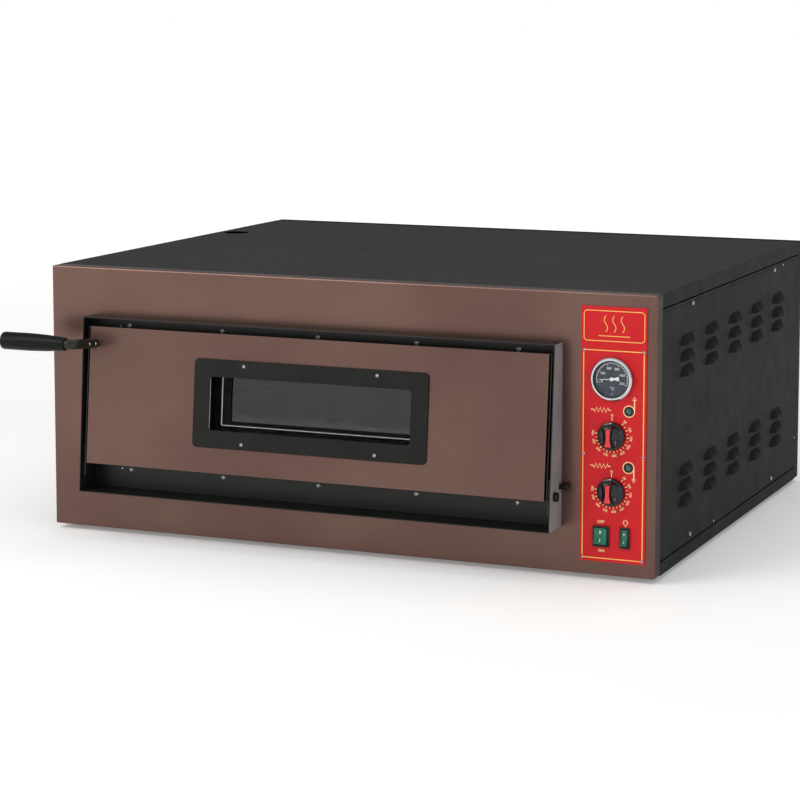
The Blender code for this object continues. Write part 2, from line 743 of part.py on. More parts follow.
def heating_elements(frame):
    for side, (centre, _, _) in zip(("left", "right"), element_places()):
        for level, z in (("lower", LOWER_ELEMENT_Z), ("upper", UPPER_ELEMENT_Z)):
            tube(f"{level}_element_{side}", "heater_sheath", element_path(centre, z), ELEMENT_RADIUS,
                 frame)


def insulation(frame):
    left, right = liner_sides()
    front = PANEL_SHEET + TOUCH + LINER_SHEET + LOOSE
    made = box("insulation_blanket", "rock_wool",
               (INSULATION_LEFT_CLEAR - BODY_WIDTH / 2, front, INSULATION_BOTTOM_CLEAR),
               (right + INSULATION_RIGHT, LINER_DEPTH, BODY_HEIGHT - INSULATION_TOP_CLEAR), frame)
    hollow = box("insulation_hollow", None, (left - TOUCH, front - CUT, LINER_LOW - TOUCH),
                 (right + TOUCH, LINER_DEPTH + CUT, LINER_HIGH + TOUCH), frame)
    cut(made, hollow)
    lamp = cylinder("insulation_lamp_hole", None, CHAMBER_LAMP_RADIUS + CHAMBER_HOLDER_FLANGE + HOLDER_CLEAR,
                    2 * INSULATION_RIGHT + 2 * CUT, (right + INSULATION_RIGHT, CHAMBER_LAMP_Y, CHAMBER_LAMP_Z),
                    frame, rotation=AXIS_RIGHT, segments=24)
    cut(made, lamp)
    rear = box("insulation_back", "rock_wool", (left, LINER_DEPTH + TOUCH, LINER_LOW),
               (right, LINER_DEPTH + TOUCH + INSULATION_BACK, LINER_HIGH), frame)
    tails = sheet("insulation_tail_holes", None, tail_outlines(ELEMENT_RADIUS + LOOSE), 3 * INSULATION_BACK,
                  (0, LINER_DEPTH + INSULATION_BACK / 2, 0), frame)
    return cut(rear, tails)


def partition_x():
    return liner_sides()[1] + INSULATION_RIGHT + TOUCH


def partition(frame):
    """Sheet wall that keeps the chamber's heat off the control compartment."""
    front, back = between_lips()
    x = partition_x()
    low = CASE_SHEET + TOUCH
    made = box("inner_partition", "aluminised_steel", (x, front, low),
               (x + CASE_SHEET, back, BODY_HEIGHT - CASE_SHEET - TOUCH), frame)
    lamp = cylinder("partition_lamp_hole", None, CHAMBER_LAMP_RADIUS + CHAMBER_HOLDER_WALL + HOLDER_CLEAR,
                    4 * CUT, (x, CHAMBER_LAMP_Y, CHAMBER_LAMP_Z), frame, rotation=AXIS_RIGHT, segments=24)
    return cut(made, lamp)


def chamber_lamp(frame):
    right = liner_sides()[1]
    seat = (right, CHAMBER_LAMP_Y, CHAMBER_LAMP_Z)
    r = CHAMBER_LAMP_RADIUS
    tube_radius = r + CHAMBER_HOLDER_WALL
    flange = r + CHAMBER_HOLDER_FLANGE
    deep = CHAMBER_HOLDER_DEPTH
    bore = CHAMBER_HOLDER_BORE
    holder = [(0, deep), (tube_radius, deep), (tube_radius, CHAMBER_HOLDER_LIP), (flange, CHAMBER_HOLDER_LIP),
              (flange, TOUCH), (r + LOOSE, TOUCH), (r + LOOSE, bore), (0, bore)]
    turned("chamber_lamp_holder", "switch_white", holder, seat, frame, rotation=AXIS_RIGHT, steps=24)
    outer = dome(r, -CHAMBER_LAMP_REACH)
    inner = dome(r - CHAMBER_LAMP_WALL, -CHAMBER_LAMP_REACH + CHAMBER_LAMP_WALL)
    profile = [*inner, (r - CHAMBER_LAMP_WALL, CHAMBER_LAMP_SEAT), (r, CHAMBER_LAMP_SEAT), *reversed(outer)]
    turned("chamber_lamp_glass", "glass_clear", profile, seat, frame, rotation=AXIS_RIGHT, steps=24)


def dome(radius, pole, steps=5):
    """Quarter circle from the pole on the axis to the full radius."""
    angles = [step / steps * math.pi / 2 for step in range(steps + 1)]
    return [(radius * math.sin(angle), pole + radius * (1 - math.cos(angle))) for angle in angles]


# ---- mouth collar ----

def collar_outline(inset, beyond):
    """Side outline of the collar in Y and Z: deeper at the bottom, with a raked front edge."""
    low = COLLAR_LOW + inset
    high = COLLAR_HIGH - inset
    rake = (COLLAR_BOTTOM_DEPTH - COLLAR_TOP_DEPTH) / (COLLAR_HIGH - COLLAR_LOW)
    front_low = -COLLAR_BOTTOM_DEPTH + rake * inset - beyond
    front_high = -COLLAR_TOP_DEPTH - rake * inset - beyond
    back = -TOUCH if beyond == 0 else -TOUCH - COLLAR_SHEET
    return [(back, low), (back, high), (front_high, high), (front_low, low)]


def mouth_collar(frame):
    made = sheet("mouth_collar", "satin_black", [collar_outline(0.0, 0.0)], COLLAR_WIDTH,
                 (MOUTH_X, 0, 0), frame, FACE_SIDE)
    hollow = sheet("mouth_collar_hollow", None, [collar_outline(COLLAR_SHEET, CUT)],
                   COLLAR_WIDTH - 2 * COLLAR_SHEET, (MOUTH_X, 0, 0), frame, FACE_SIDE)
    cut(made, hollow)
    mouth = sheet("mouth_collar_mouth", None, [mouth_outline()], 4 * CUT, (0, 0, 0), frame)
    cut(made, mouth)
    hinge = cylinder("mouth_collar_hinge_holes", None, HINGE_PIN_RADIUS + TOUCH, COLLAR_WIDTH + 2 * CUT,
                     (MOUTH_X, -HINGE_OUT, HINGE_Z), frame, rotation=AXIS_RIGHT, segments=16)
    cut(made, hinge)
    stop = cylinder("mouth_collar_stop_holes", None, STOP_RADIUS + TOUCH, COLLAR_WIDTH + 2 * CUT,
                    (MOUTH_X, STOP_BACK - HINGE_OUT, HINGE_Z + STOP_UP), frame,
                    rotation=AXIS_RIGHT, segments=16)
    return cut(made, stop)


def frame_half_width():
    return SKIN_WIDTH / 2 + FRAME_OVERHANG


def hinge_bolts(frame):
    """Shoulder bolts through the collar's cheeks, on which the door's ears turn."""
    outside = COLLAR_WIDTH / 2
    inner_end = outside - frame_half_width() + DOOR_SHEET + HINGE_PIN_END
    head = HINGE_PIN_RADIUS + HINGE_HEAD_STEP
    profile = [(0, HINGE_HEAD + TOUCH), (head * 0.9, HINGE_HEAD + TOUCH), (head, HINGE_HEAD * 0.9),
               (head, TOUCH), (HINGE_PIN_RADIUS, TOUCH), (HINGE_PIN_RADIUS, -inner_end), (0, -inner_end)]
    for name, side, rotation in (("hinge_bolt_left", -1, AXIS_LEFT), ("hinge_bolt_right", 1, AXIS_RIGHT)):
        turned(name, "zinc_steel", profile, (MOUTH_X + side * outside, -HINGE_OUT, HINGE_Z), frame,
               rotation=rotation, steps=18)


def stop_pins(frame):
    """Studs in the collar's cheeks that the door's ears meet when the door lies open."""
    outside = COLLAR_WIDTH / 2
    inner_end = outside - frame_half_width() - TOUCH
    profile = [(0, STOP_OUT), (STOP_RADIUS * 0.85, STOP_OUT), (STOP_RADIUS, STOP_OUT * 0.93),
               (STOP_RADIUS, -inner_end), (0, -inner_end)]
    for name, side, rotation in (("door_stop_left", -1, AXIS_LEFT), ("door_stop_right", 1, AXIS_RIGHT)):
        place_at = (MOUTH_X + side * outside, STOP_BACK - HINGE_OUT, HINGE_Z + STOP_UP)
        turned(name, "satin_black", profile, place_at, frame, rotation=rotation, steps=18)


# ---- door ----

def skin_outline(inset=0.0):
    return rectangle(-SKIN_WIDTH / 2 + inset, SKIN_WIDTH / 2 - inset,
                     -SKIN_BELOW + inset, SKIN_ABOVE - inset)


def window_z():
    return (SKIN_ABOVE - SKIN_BELOW) / 2


def window_outline(margin, corner=WINDOW_CORNER):
    return rounded_rectangle(WINDOW_WIDTH + 2 * margin, WINDOW_HEIGHT + 2 * margin, corner,
                             z=window_z())


def sleeve_margin():
    return GLASS_LAND + SLEEVE_WALL


def door_skin(pivot):
    outlines = [skin_outline(), window_outline(sleeve_margin() + TOUCH)]
    middle = -SKIN_FRONT + DOOR_SHEET / 2
    return sheet("door_skin", "bronze_metallic", outlines, DOOR_SHEET, (0, middle, 0), pivot)


def door_frame(pivot):
    """Folded steel pan behind the skin with the two hinge ears on its ends."""
    half = frame_half_width()
    front = -SKIN_FRONT + DOOR_SHEET + TOUCH
    made = box("door_frame", "satin_black", (-half, front, -SKIN_BELOW), (half, FRAME_BACK, SKIN_ABOVE), pivot)
    hollow = box("door_frame_hollow", None, (-half + DOOR_SHEET, front - CUT, -SKIN_BELOW + DOOR_SHEET),
                 (half - DOOR_SHEET, FRAME_BACK - DOOR_SHEET, SKIN_ABOVE - DOOR_SHEET), pivot)
    cut(made, hollow)
    for side, tag in ((-1, "left"), (1, "right")):
        near = side * (half - DOOR_SHEET / 2)
        far = side * (half + EAR_SHEET)
        ear = box(f"door_ear_{tag}", None, (min(near, far), -EAR_FRONT, -EAR_BELOW),
                  (max(near, far), EAR_BACK, EAR_ABOVE), pivot)
        join(made, ear)
    opening = sheet("door_frame_window", None, [window_outline(sleeve_margin() + TOUCH)], 6 * CUT,
                    (0, FRAME_BACK, 0), pivot)
    cut(made, opening)
    bore = cylinder("door_frame_bore", None, HINGE_PIN_RADIUS + TOUCH, 2 * (half + EAR_SHEET) + 2 * CUT,
                    (0, 0, 0), pivot, rotation=AXIS_RIGHT, segments=16)
    return cut(made, bore)


def door_insulation(pivot):
    inset = DOOR_SHEET + INSULATION_EDGE
    front = -SKIN_FRONT + DOOR_SHEET + LOOSE
    back = FRAME_BACK - DOOR_SHEET - TOUCH
    outlines = [skin_outline(inset), window_outline(sleeve_margin() + TOUCH)]
    return sheet("door_insulation", "rock_wool", outlines, back - front, (0, (front + back) / 2, 0), pivot)


def door_inner_panel(pivot):
    outlines = [skin_outline(INNER_PANEL_MARGIN), window_outline(sleeve_margin() + TOUCH)]
    middle = FRAME_BACK + TOUCH + DOOR_SHEET / 2
    return sheet("door_inner_panel", "stainless", outlines, DOOR_SHEET, (0, middle, 0), pivot)


def window_parts(pivot):
    corner = WINDOW_CORNER
    plate_back = -SKIN_FRONT - TOUCH
    sheet("window_frame", "satin_black", [window_outline(WINDOW_BORDER, corner * 1.3), window_outline(0.0)],
          WINDOW_PLATE, (0, plate_back - WINDOW_PLATE / 2, 0), pivot)
    sheet("window_glass_outer", "glass_smoked", [window_outline(GLASS_LAND - TOUCH)], GLASS,
          (0, plate_back + GLASS / 2 + LOOSE, 0), pivot)
    sleeve_front = plate_back + GLASS + 2 * LOOSE
    sheet("window_sleeve", "stainless", [window_outline(GLASS_LAND + SLEEVE_WALL), window_outline(GLASS_LAND)],
          SLEEVE_BACK - sleeve_front, (0, (SLEEVE_BACK + sleeve_front) / 2, 0), pivot)
    sheet("window_glass_inner", "glass_smoked", [window_outline(GLASS_LAND - TOUCH)], GLASS,
          (0, SLEEVE_BACK - GLASS / 2 - LOOSE, 0), pivot)


def handle_x():
    return -SKIN_WIDTH / 2 + ROD_FROM_EDGE


def grip_start():
    return handle_x() - ROD_BEND - TOUCH


def handle(pivot):
    """Bent rod standing off the skin and turning left into a tapered grip."""
    x = handle_x()
    out = -SKIN_FRONT - ROD_REACH
    rod_end = grip_start() - GRIP_LENGTH + GRIP_HEAD_WALL + LOOSE
    points = [(x, -SKIN_FRONT - TOUCH, ROD_UP)]
    for step in range(7):
        angle = math.pi / 2 * step / 6
        points.append((x - ROD_BEND + ROD_BEND * math.cos(angle),
                       out + ROD_BEND - ROD_BEND * math.sin(angle), ROD_UP))
    points.append((rod_end, out, ROD_UP))
    rod = tube("handle_rod", "satin_black", points, ROD_RADIUS, pivot, resolution=4)
    for index, depth in enumerate(HANDLE_SCREW_DEPTHS):
        y = -SKIN_FRONT - depth
        pocket = cylinder(f"handle_rod_pocket_{index}", None, HANDLE_SCREW_RADIUS + TOUCH, HANDLE_SCREW_LENGTH * 2,
                          (x + ROD_RADIUS, y, ROD_UP), pivot, rotation=AXIS_RIGHT, segments=12)
        cut(rod, pocket)
        length = HANDLE_SCREW_LENGTH
        cylinder(f"handle_screw_{index + 1}", "zinc_steel", HANDLE_SCREW_RADIUS, length - TOUCH,
                 (x + ROD_RADIUS - length / 2 + LOOSE, y, ROD_UP), pivot, rotation=AXIS_RIGHT, segments=12)
    handle_grip(pivot, out)


def handle_grip(pivot, out):
    bore = ROD_RADIUS + GRIP_CLEAR
    length = GRIP_LENGTH
    end = GRIP_END_RADIUS
    neck = GRIP_NECK_RADIUS
    profile = [(0, length), (end * 0.80, length), (end * 0.95, length * 0.985), (end, length * 0.96),
               (end, length * 0.55), (end * 0.93, length * 0.30), (neck, length * 0.04),
               (neck * 0.94, 0.0), (bore, 0.0), (bore, length - GRIP_HEAD_WALL), (0, length - GRIP_HEAD_WALL)]
    grip = turned("handle_grip", "gloss_black", profile, (grip_start(), out, ROD_UP), pivot,
                  rotation=AXIS_LEFT, steps=28)
    return grip


# ---- control fascia ----

def control_fascia(frame):
    half = FASCIA_WIDTH / 2
    outline = rectangle(FASCIA_X - half, FASCIA_X + half, FASCIA_LOW, FASCIA_HIGH)
    return sheet("control_fascia", "fascia_red", [outline, *control_holes()], FASCIA_SHEET,
                 (0, -TOUCH - FASCIA_SHEET / 2, 0), frame)


def fascia_face():
    return TOUCH + FASCIA_SHEET


def thermometer(frame):
    face = fascia_face()
    seat = (CONTROL_X, -face, THERMOMETER_Z)
    plate = BEZEL_RADIUS - BEZEL_WALL - TOUCH
    can = DIAL_CAN_RADIUS
    case = [(0, DIAL_PLATE), (plate, DIAL_PLATE), (plate, TOUCH), (can, TOUCH), (can, -DIAL_CAN_DEPTH),
            (0, -DIAL_CAN_DEPTH)]
    turned("thermometer_case", "dial_slate", case, seat, frame, steps=40)
    rim = BEZEL_RADIUS
    inner = rim - BEZEL_WALL
    lip = rim - BEZEL_LIP
    deep = BEZEL_DEPTH
    bezel = [(lip, deep), (rim - BEZEL_ROUND, deep), (rim, deep - BEZEL_ROUND), (rim, TOUCH), (inner, TOUCH),
             (inner, deep - BEZEL_SHEET), (lip, deep - BEZEL_SHEET)]
    turned("thermometer_bezel", "chrome", bezel, seat, frame, steps=40, ring=True)
    lens = deep - BEZEL_SHEET - TOUCH
    glass = [(0, lens), (inner - TOUCH, lens), (inner - TOUCH, lens - LENS), (0, lens - LENS)]
    turned("thermometer_lens", "glass_clear", glass, seat, frame, steps=40)
    needle(seat, frame)


def needle(seat, frame):
    """Flat pointer with a flared tail, pointing to the dial's left-hand start."""
    half = NEEDLE_HALF
    tail = NEEDLE_TAIL_HALF
    outline = [(-NEEDLE_LENGTH, 0.0), (-NEEDLE_LENGTH * 0.96, -half * 0.6), (0.0, -half), (NEEDLE_TAIL, -tail),
               (NEEDLE_TAIL, tail), (0.0, half), (-NEEDLE_LENGTH * 0.96, half * 0.6)]
    place_at = (seat[0], seat[1] - NEEDLE_LEVEL, seat[2])
    made = sheet("thermometer_needle", "needle_white", [outline], NEEDLE_SHEET, place_at, frame,
                 (math.pi / 2, NEEDLE_REST, 0))
    return join(made, cylinder("needle_hub", None, NEEDLE_HUB_RADIUS, NEEDLE_HUB, place_at, frame, segments=16))


def knob(name, z, frame):
    face = fascia_face()
    r = KNOB_RADIUS
    skirt = KNOB_SKIRT
    bore = SHAFT_RADIUS + TOUCH
    deep = SHAFT_REACH + TOUCH
    profile = [(r * 0.80, skirt), (r * 0.93, skirt * 0.62), (r, skirt * 0.34), (r, LOOSE), (bore, LOOSE),
               (bore, deep), (0, deep)]
    grip_top = skirt + KNOB_GRIP
    socket = SHAFT_RADIUS + KNOB_SOCKET_WALL
    socket_top = grip_top - KNOB_BAR_ROUND / 2
    disc = [(0, socket_top), (socket, socket_top), (socket, skirt), *profile]
    made = turned(name, "gloss_black", disc, (CONTROL_X, -face, z), frame, steps=40)
    bar = box(name + "_bar", None, (CONTROL_X - KNOB_GRIP_WIDTH / 2, -face - grip_top, z - r * 0.86),
              (CONTROL_X + KNOB_GRIP_WIDTH / 2, -face - skirt * 0.5, z + r * 0.86), frame)
    bevel(bar, KNOB_BAR_ROUND, 2)
    relief = cylinder(name + "_relief", None, bore, 2 * SHAFT_REACH, (CONTROL_X, -face - TOUCH, z), frame,
                      segments=40)
    join(made, bar)
    return cut(made, relief)


def thermostat(name, z, frame):
    face = fascia_face()
    half = THERMOSTAT_SIZE / 2
    back = PANEL_SHEET + LOOSE
    made = box(name, "switch_white", (CONTROL_X - half, back, z - half * 0.8),
               (CONTROL_X + half, back + THERMOSTAT_DEPTH, z + half * 0.8), frame)
    tip = -face - SHAFT_REACH + TOUCH
    root = back + SHAFT_ROOT
    shaft = cylinder(name + "_shaft", None, SHAFT_RADIUS, root - tip, (CONTROL_X, (tip + root) / 2, z), frame,
                     segments=16)
    return join(made, shaft)


def indicator_lamp(name, z, frame):
    r = LAMP_RADIUS
    cap = LAMP_FLANGE_RADIUS
    top = LAMP_DOME
    profile = [(0, top), (r * 0.6, top * 0.92), (r * 0.92, top * 0.68), (cap, top * 0.36), (cap, TOUCH),
               (r, TOUCH), (r, -LAMP_DEPTH), (0, -LAMP_DEPTH)]
    return turned(name, "lamp_green", profile, (LAMP_X, -fascia_face(), z), frame, steps=24)


def switch(prefix, x, width, frame):
    """Snap-in rocker switch: rimmed body with a well, and a rocker that tips in it."""
    face = fascia_face()
    half = width / 2
    tall = SWITCH_HEIGHT / 2
    rim_front = -face - SWITCH_FLANGE
    made = box(prefix + "_switch_body", "gloss_black", (x - half, rim_front, SWITCH_Z - tall),
               (x + half, -face - TOUCH, SWITCH_Z + tall), frame)
    lap = SWITCH_LAP
    inner = box(prefix + "_switch_barrel", None, (x - half + lap, -face - SWITCH_FLANGE / 2, SWITCH_Z - tall + lap),
                (x + half - lap, SWITCH_BODY_DEPTH, SWITCH_Z + tall - lap), frame)
    join(made, inner)
    rim = SWITCH_RIM
    well = box(prefix + "_switch_well", None, (x - half + rim, rim_front - CUT, SWITCH_Z - tall + rim),
               (x + half - rim, SWITCH_WELL, SWITCH_Z + tall - rim), frame)
    cut(made, well)
    rocker(prefix, x, half - rim - 2 * TOUCH, tall - rim, frame)


def rocker(prefix, x, half_width, half_height, frame):
    face = fascia_face()
    pivot_y = -face - SWITCH_FLANGE + ROCKER_PIVOT_IN
    reach = half_height - ROCKER_END_CLEAR
    outline = [(-ROCKER_PROUD, -reach), (ROCKER_DISH - ROCKER_PROUD, 0.0), (-ROCKER_PROUD, reach),
               (ROCKER_BACK, reach), (ROCKER_KEEL, 0.0), (ROCKER_BACK, -reach)]
    return sheet(prefix + "_rocker", "rocker_green", [outline], 2 * half_width,
                 (x, pivot_y, SWITCH_Z), frame, rocker_rotation())


def rocker_rotation():
    """FACE_SIDE, then tipped about X so that the upper half is pressed in."""
    upright = Euler(FACE_SIDE).to_matrix()
    return (Matrix.Rotation(-ROCKER_TILT, 3, "X") @ upright).to_euler()


# ---- back connections ----

def cable_gland(frame):
    r = GLAND_RADIUS
    core = GLAND_CORE_RADIUS
    wide = GLAND_HEX_RADIUS
    out = GLAND_LENGTH
    inside = -GLAND_INSIDE
    profile = [(core, out), (r * 0.85, out), (r, out - GLAND_CHAMFER), (r, GLAND_HEX + TOUCH), (wide, GLAND_HEX),
               (wide, TOUCH), (r, TOUCH), (r, inside), (core, inside)]
    return turned("cable_gland", "gloss_black", profile, (GLAND_X, BODY_DEPTH, GLAND_Z), frame,
                  rotation=(-math.pi / 2, 0, 0), steps=24, ring=True)


def terminal_block(frame):
    low = CASE_SHEET + TOUCH
    back = BODY_DEPTH - LIP - TERMINAL_FROM_LIP
    half = TERMINAL_WIDTH / 2
    made = box("terminal_block", "switch_white", (GLAND_X - half, back - TERMINAL_DEPTH, low),
               (GLAND_X + half, back, low + TERMINAL_HEIGHT), frame)
    pitch = TERMINAL_WIDTH / TERMINAL_WAYS
    wells = []
    for way in range(TERMINAL_WAYS):
        x = GLAND_X - half + (way + 0.5) * pitch
        wells.append(((x - pitch * 0.36, back - TERMINAL_DEPTH * 0.7, low + TERMINAL_HEIGHT * 0.45),
                      (x + pitch * 0.36, back - TERMINAL_DEPTH * 0.3, low + TERMINAL_HEIGHT + CUT)))
    return cut(made, boxes("terminal_wells", None, wells, frame))


# ---- assembly ----

def frame_location():
    """Offset of the oven frame that puts the middle of the bounding box's base at the origin."""
    grip_left = MOUTH_X + grip_start() - GRIP_LENGTH
    body_right = BODY_WIDTH / 2 + LOUVRE_DEPTH
    reach = SKIN_FRONT + ROD_REACH
    grip_y = -HINGE_OUT - reach * math.cos(DOOR_LEAN) + ROD_UP * math.sin(DOOR_LEAN)
    front = grip_y - GRIP_END_RADIUS
    rear = BODY_DEPTH + GLAND_LENGTH
    return (-(grip_left + body_right) / 2, -(front + rear) / 2, FOOT_HEIGHT)


def build():
    frame = empty("oven_frame", frame_location())
    base_pan(frame)
    feet(frame)
    front_panel(frame)
    top_cover(frame)
    side_panel("side_panel_left", -1, frame)
    side_panel("side_panel_right", 1, frame)
    back_panel(frame)
    chamber_liner(frame)
    stone_rack(frame)
    baking_stones(frame)
    heating_elements(frame)
    insulation(frame)
    partition(frame)
    chamber_lamp(frame)
    mouth_collar(frame)
    hinge_bolts(frame)
    stop_pins(frame)
    pivot = empty("door_pivot", (MOUTH_X, -HINGE_OUT, HINGE_Z), frame, (-DOOR_LEAN, 0, 0))
    door_frame(pivot)
    door_skin(pivot)
    door_insulation(pivot)
    door_inner_panel(pivot)
    window_parts(pivot)
    handle(pivot)
    control_fascia(frame)
    thermometer(frame)
    knob("upper_knob", UPPER_KNOB_Z, frame)
    knob("lower_knob", LOWER_KNOB_Z, frame)
    thermostat("upper_thermostat", UPPER_KNOB_Z, frame)
    thermostat("lower_thermostat", LOWER_KNOB_Z, frame)
    indicator_lamp("upper_lamp", UPPER_KNOB_Z + LAMP_RISE, frame)
    indicator_lamp("lower_lamp", LOWER_KNOB_Z + LAMP_RISE, frame)
    switch("main", MAIN_SWITCH_X, MAIN_SWITCH_WIDTH, frame)
    switch("light", LIGHT_SWITCH_X, LIGHT_SWITCH_WIDTH, frame)
    cable_gland(frame)
    terminal_block(frame)


clear_scene()
PARTS = bpy.data.collections.new("countertop_pizza_oven")
CUTTERS = bpy.data.collections.new("cutters")
bpy.context.scene.collection.children.link(PARTS)
bpy.context.scene.collection.children.link(CUTTERS)
build()
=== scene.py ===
# Countertop pizza oven with one baking deck. Metres, +Z up, the front faces -Y.
import json
import math
import bmesh
import bpy
from mathutils import Matrix, Vector

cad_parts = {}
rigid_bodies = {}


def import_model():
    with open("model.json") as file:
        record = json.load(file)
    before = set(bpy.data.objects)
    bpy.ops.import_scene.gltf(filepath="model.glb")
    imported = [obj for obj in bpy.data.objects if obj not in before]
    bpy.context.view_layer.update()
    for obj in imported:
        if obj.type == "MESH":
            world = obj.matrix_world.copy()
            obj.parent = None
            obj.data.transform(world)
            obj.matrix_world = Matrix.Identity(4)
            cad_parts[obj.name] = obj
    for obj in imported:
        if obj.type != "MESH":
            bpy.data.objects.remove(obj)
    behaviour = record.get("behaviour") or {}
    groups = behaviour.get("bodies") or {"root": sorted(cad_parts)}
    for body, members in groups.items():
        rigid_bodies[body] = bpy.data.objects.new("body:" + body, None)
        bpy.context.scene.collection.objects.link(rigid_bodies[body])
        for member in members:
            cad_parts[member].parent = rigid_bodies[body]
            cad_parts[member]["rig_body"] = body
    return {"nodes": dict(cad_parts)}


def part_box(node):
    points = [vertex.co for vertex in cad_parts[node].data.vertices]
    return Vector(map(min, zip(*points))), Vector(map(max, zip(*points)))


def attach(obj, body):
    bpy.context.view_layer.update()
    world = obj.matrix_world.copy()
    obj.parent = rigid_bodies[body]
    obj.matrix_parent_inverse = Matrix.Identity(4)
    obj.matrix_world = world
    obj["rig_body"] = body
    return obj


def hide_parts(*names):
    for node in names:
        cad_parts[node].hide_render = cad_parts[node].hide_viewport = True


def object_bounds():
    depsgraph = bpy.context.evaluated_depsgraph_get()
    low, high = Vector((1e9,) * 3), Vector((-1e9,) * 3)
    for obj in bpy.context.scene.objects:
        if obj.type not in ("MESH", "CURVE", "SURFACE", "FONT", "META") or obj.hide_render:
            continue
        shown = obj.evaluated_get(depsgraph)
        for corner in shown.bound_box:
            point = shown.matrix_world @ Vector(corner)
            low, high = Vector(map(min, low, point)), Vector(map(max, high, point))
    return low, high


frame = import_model()
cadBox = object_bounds()
print("frame loaded:", len(frame["nodes"]), "nodes")

mm = 0.001
panelLow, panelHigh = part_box("front_panel")
origin = Vector(((panelLow.x + panelHigh.x) / 2, panelLow.y, panelLow.z))  # bottom middle of the front face
scene = bpy.context.scene
sharp = {"flat": 20, "head": 30, "turned": 38, "print": 50}  # degrees past which an edge is shaded sharp
frontFace = -1.8  # mm, where screw heads, lamps and print sit in front of the panel
controlX = 438.2  # mm, the upright line through the dial and both knobs


def at(x, y, z):
    return origin + Vector((x, y, z)) * mm


# small helpers

def linearColour(code):
    parts = [int(code[i:i + 2], 16) / 255 for i in (0, 2, 4)]
    return [p / 12.92 if p <= 0.04045 else ((p + 0.055) / 1.055) ** 2.4 for p in parts] + [1.0]


def setInputs(node, inputs):
    # inputs go by name or in order; a node given as an input passes on its first output
    for key, value in inputs.items() if isinstance(inputs, dict) else enumerate(inputs):
        if isinstance(value, bpy.types.Node):
            value = value.outputs[0]
        if isinstance(value, bpy.types.NodeSocket):
            node.id_data.links.new(value, node.inputs[key])
        else:
            node.inputs[key].default_value = value


def addNode(tree, kind, inputs=(), **settings):
    node = tree.nodes.new(kind)
    for key, value in settings.items():
        setattr(node, key, value)
    setInputs(node, inputs)
    return node


def newObject(name, data):
    thing = bpy.data.objects.new(name, data)
    scene.collection.objects.link(thing)
    return thing


def meshOf(thing):
    graph = bpy.context.evaluated_depsgraph_get()
    made = bpy.data.meshes.new_from_object(thing.evaluated_get(graph), depsgraph=graph)
    made.transform(thing.matrix_world)
    bpy.data.objects.remove(thing)
    return made


def meshFrom(bm, name):
    made = bpy.data.meshes.new(name)
    bm.to_mesh(made)
    bm.free()
    return made


def joined(meshes):
    bm = bmesh.new()
    for mesh in meshes:
        bm.from_mesh(mesh)
    return meshFrom(bm, "joined")


def roundEdges(thing, width, angle=40):
    edges = thing.modifiers.new("edges", "BEVEL")
    edges.width = width * mm
    edges.segments = 2
    edges.limit_method = "ANGLE"
    edges.angle_limit = math.radians(angle)


def cutAway(thing, cutters, width=0.0, angle=40):
    # cuts each cutter out of the thing, then rounds its edges by that many mm
    for cutter in cutters:
        cut = thing.modifiers.new(cutter.name, "BOOLEAN")
        cut.object = cutter
        cut.solver = "EXACT"
    if width:
        roundEdges(thing, width, angle)
    made = meshOf(thing)
    for cutter in cutters:
        bpy.data.objects.remove(cutter)
    return made


def addPiece(name, mesh, material, body, replaced=(), edges="turned"):
    mesh.materials.clear()
    mesh.materials.append(materials[material])
    mesh.shade_smooth()
    mesh.set_sharp_from_angle(angle=math.radians(sharp[edges]))
    mesh.name = name
    thing = newObject(name, mesh)
    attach(thing, body)
    if replaced:
        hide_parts(*replaced)
    return thing


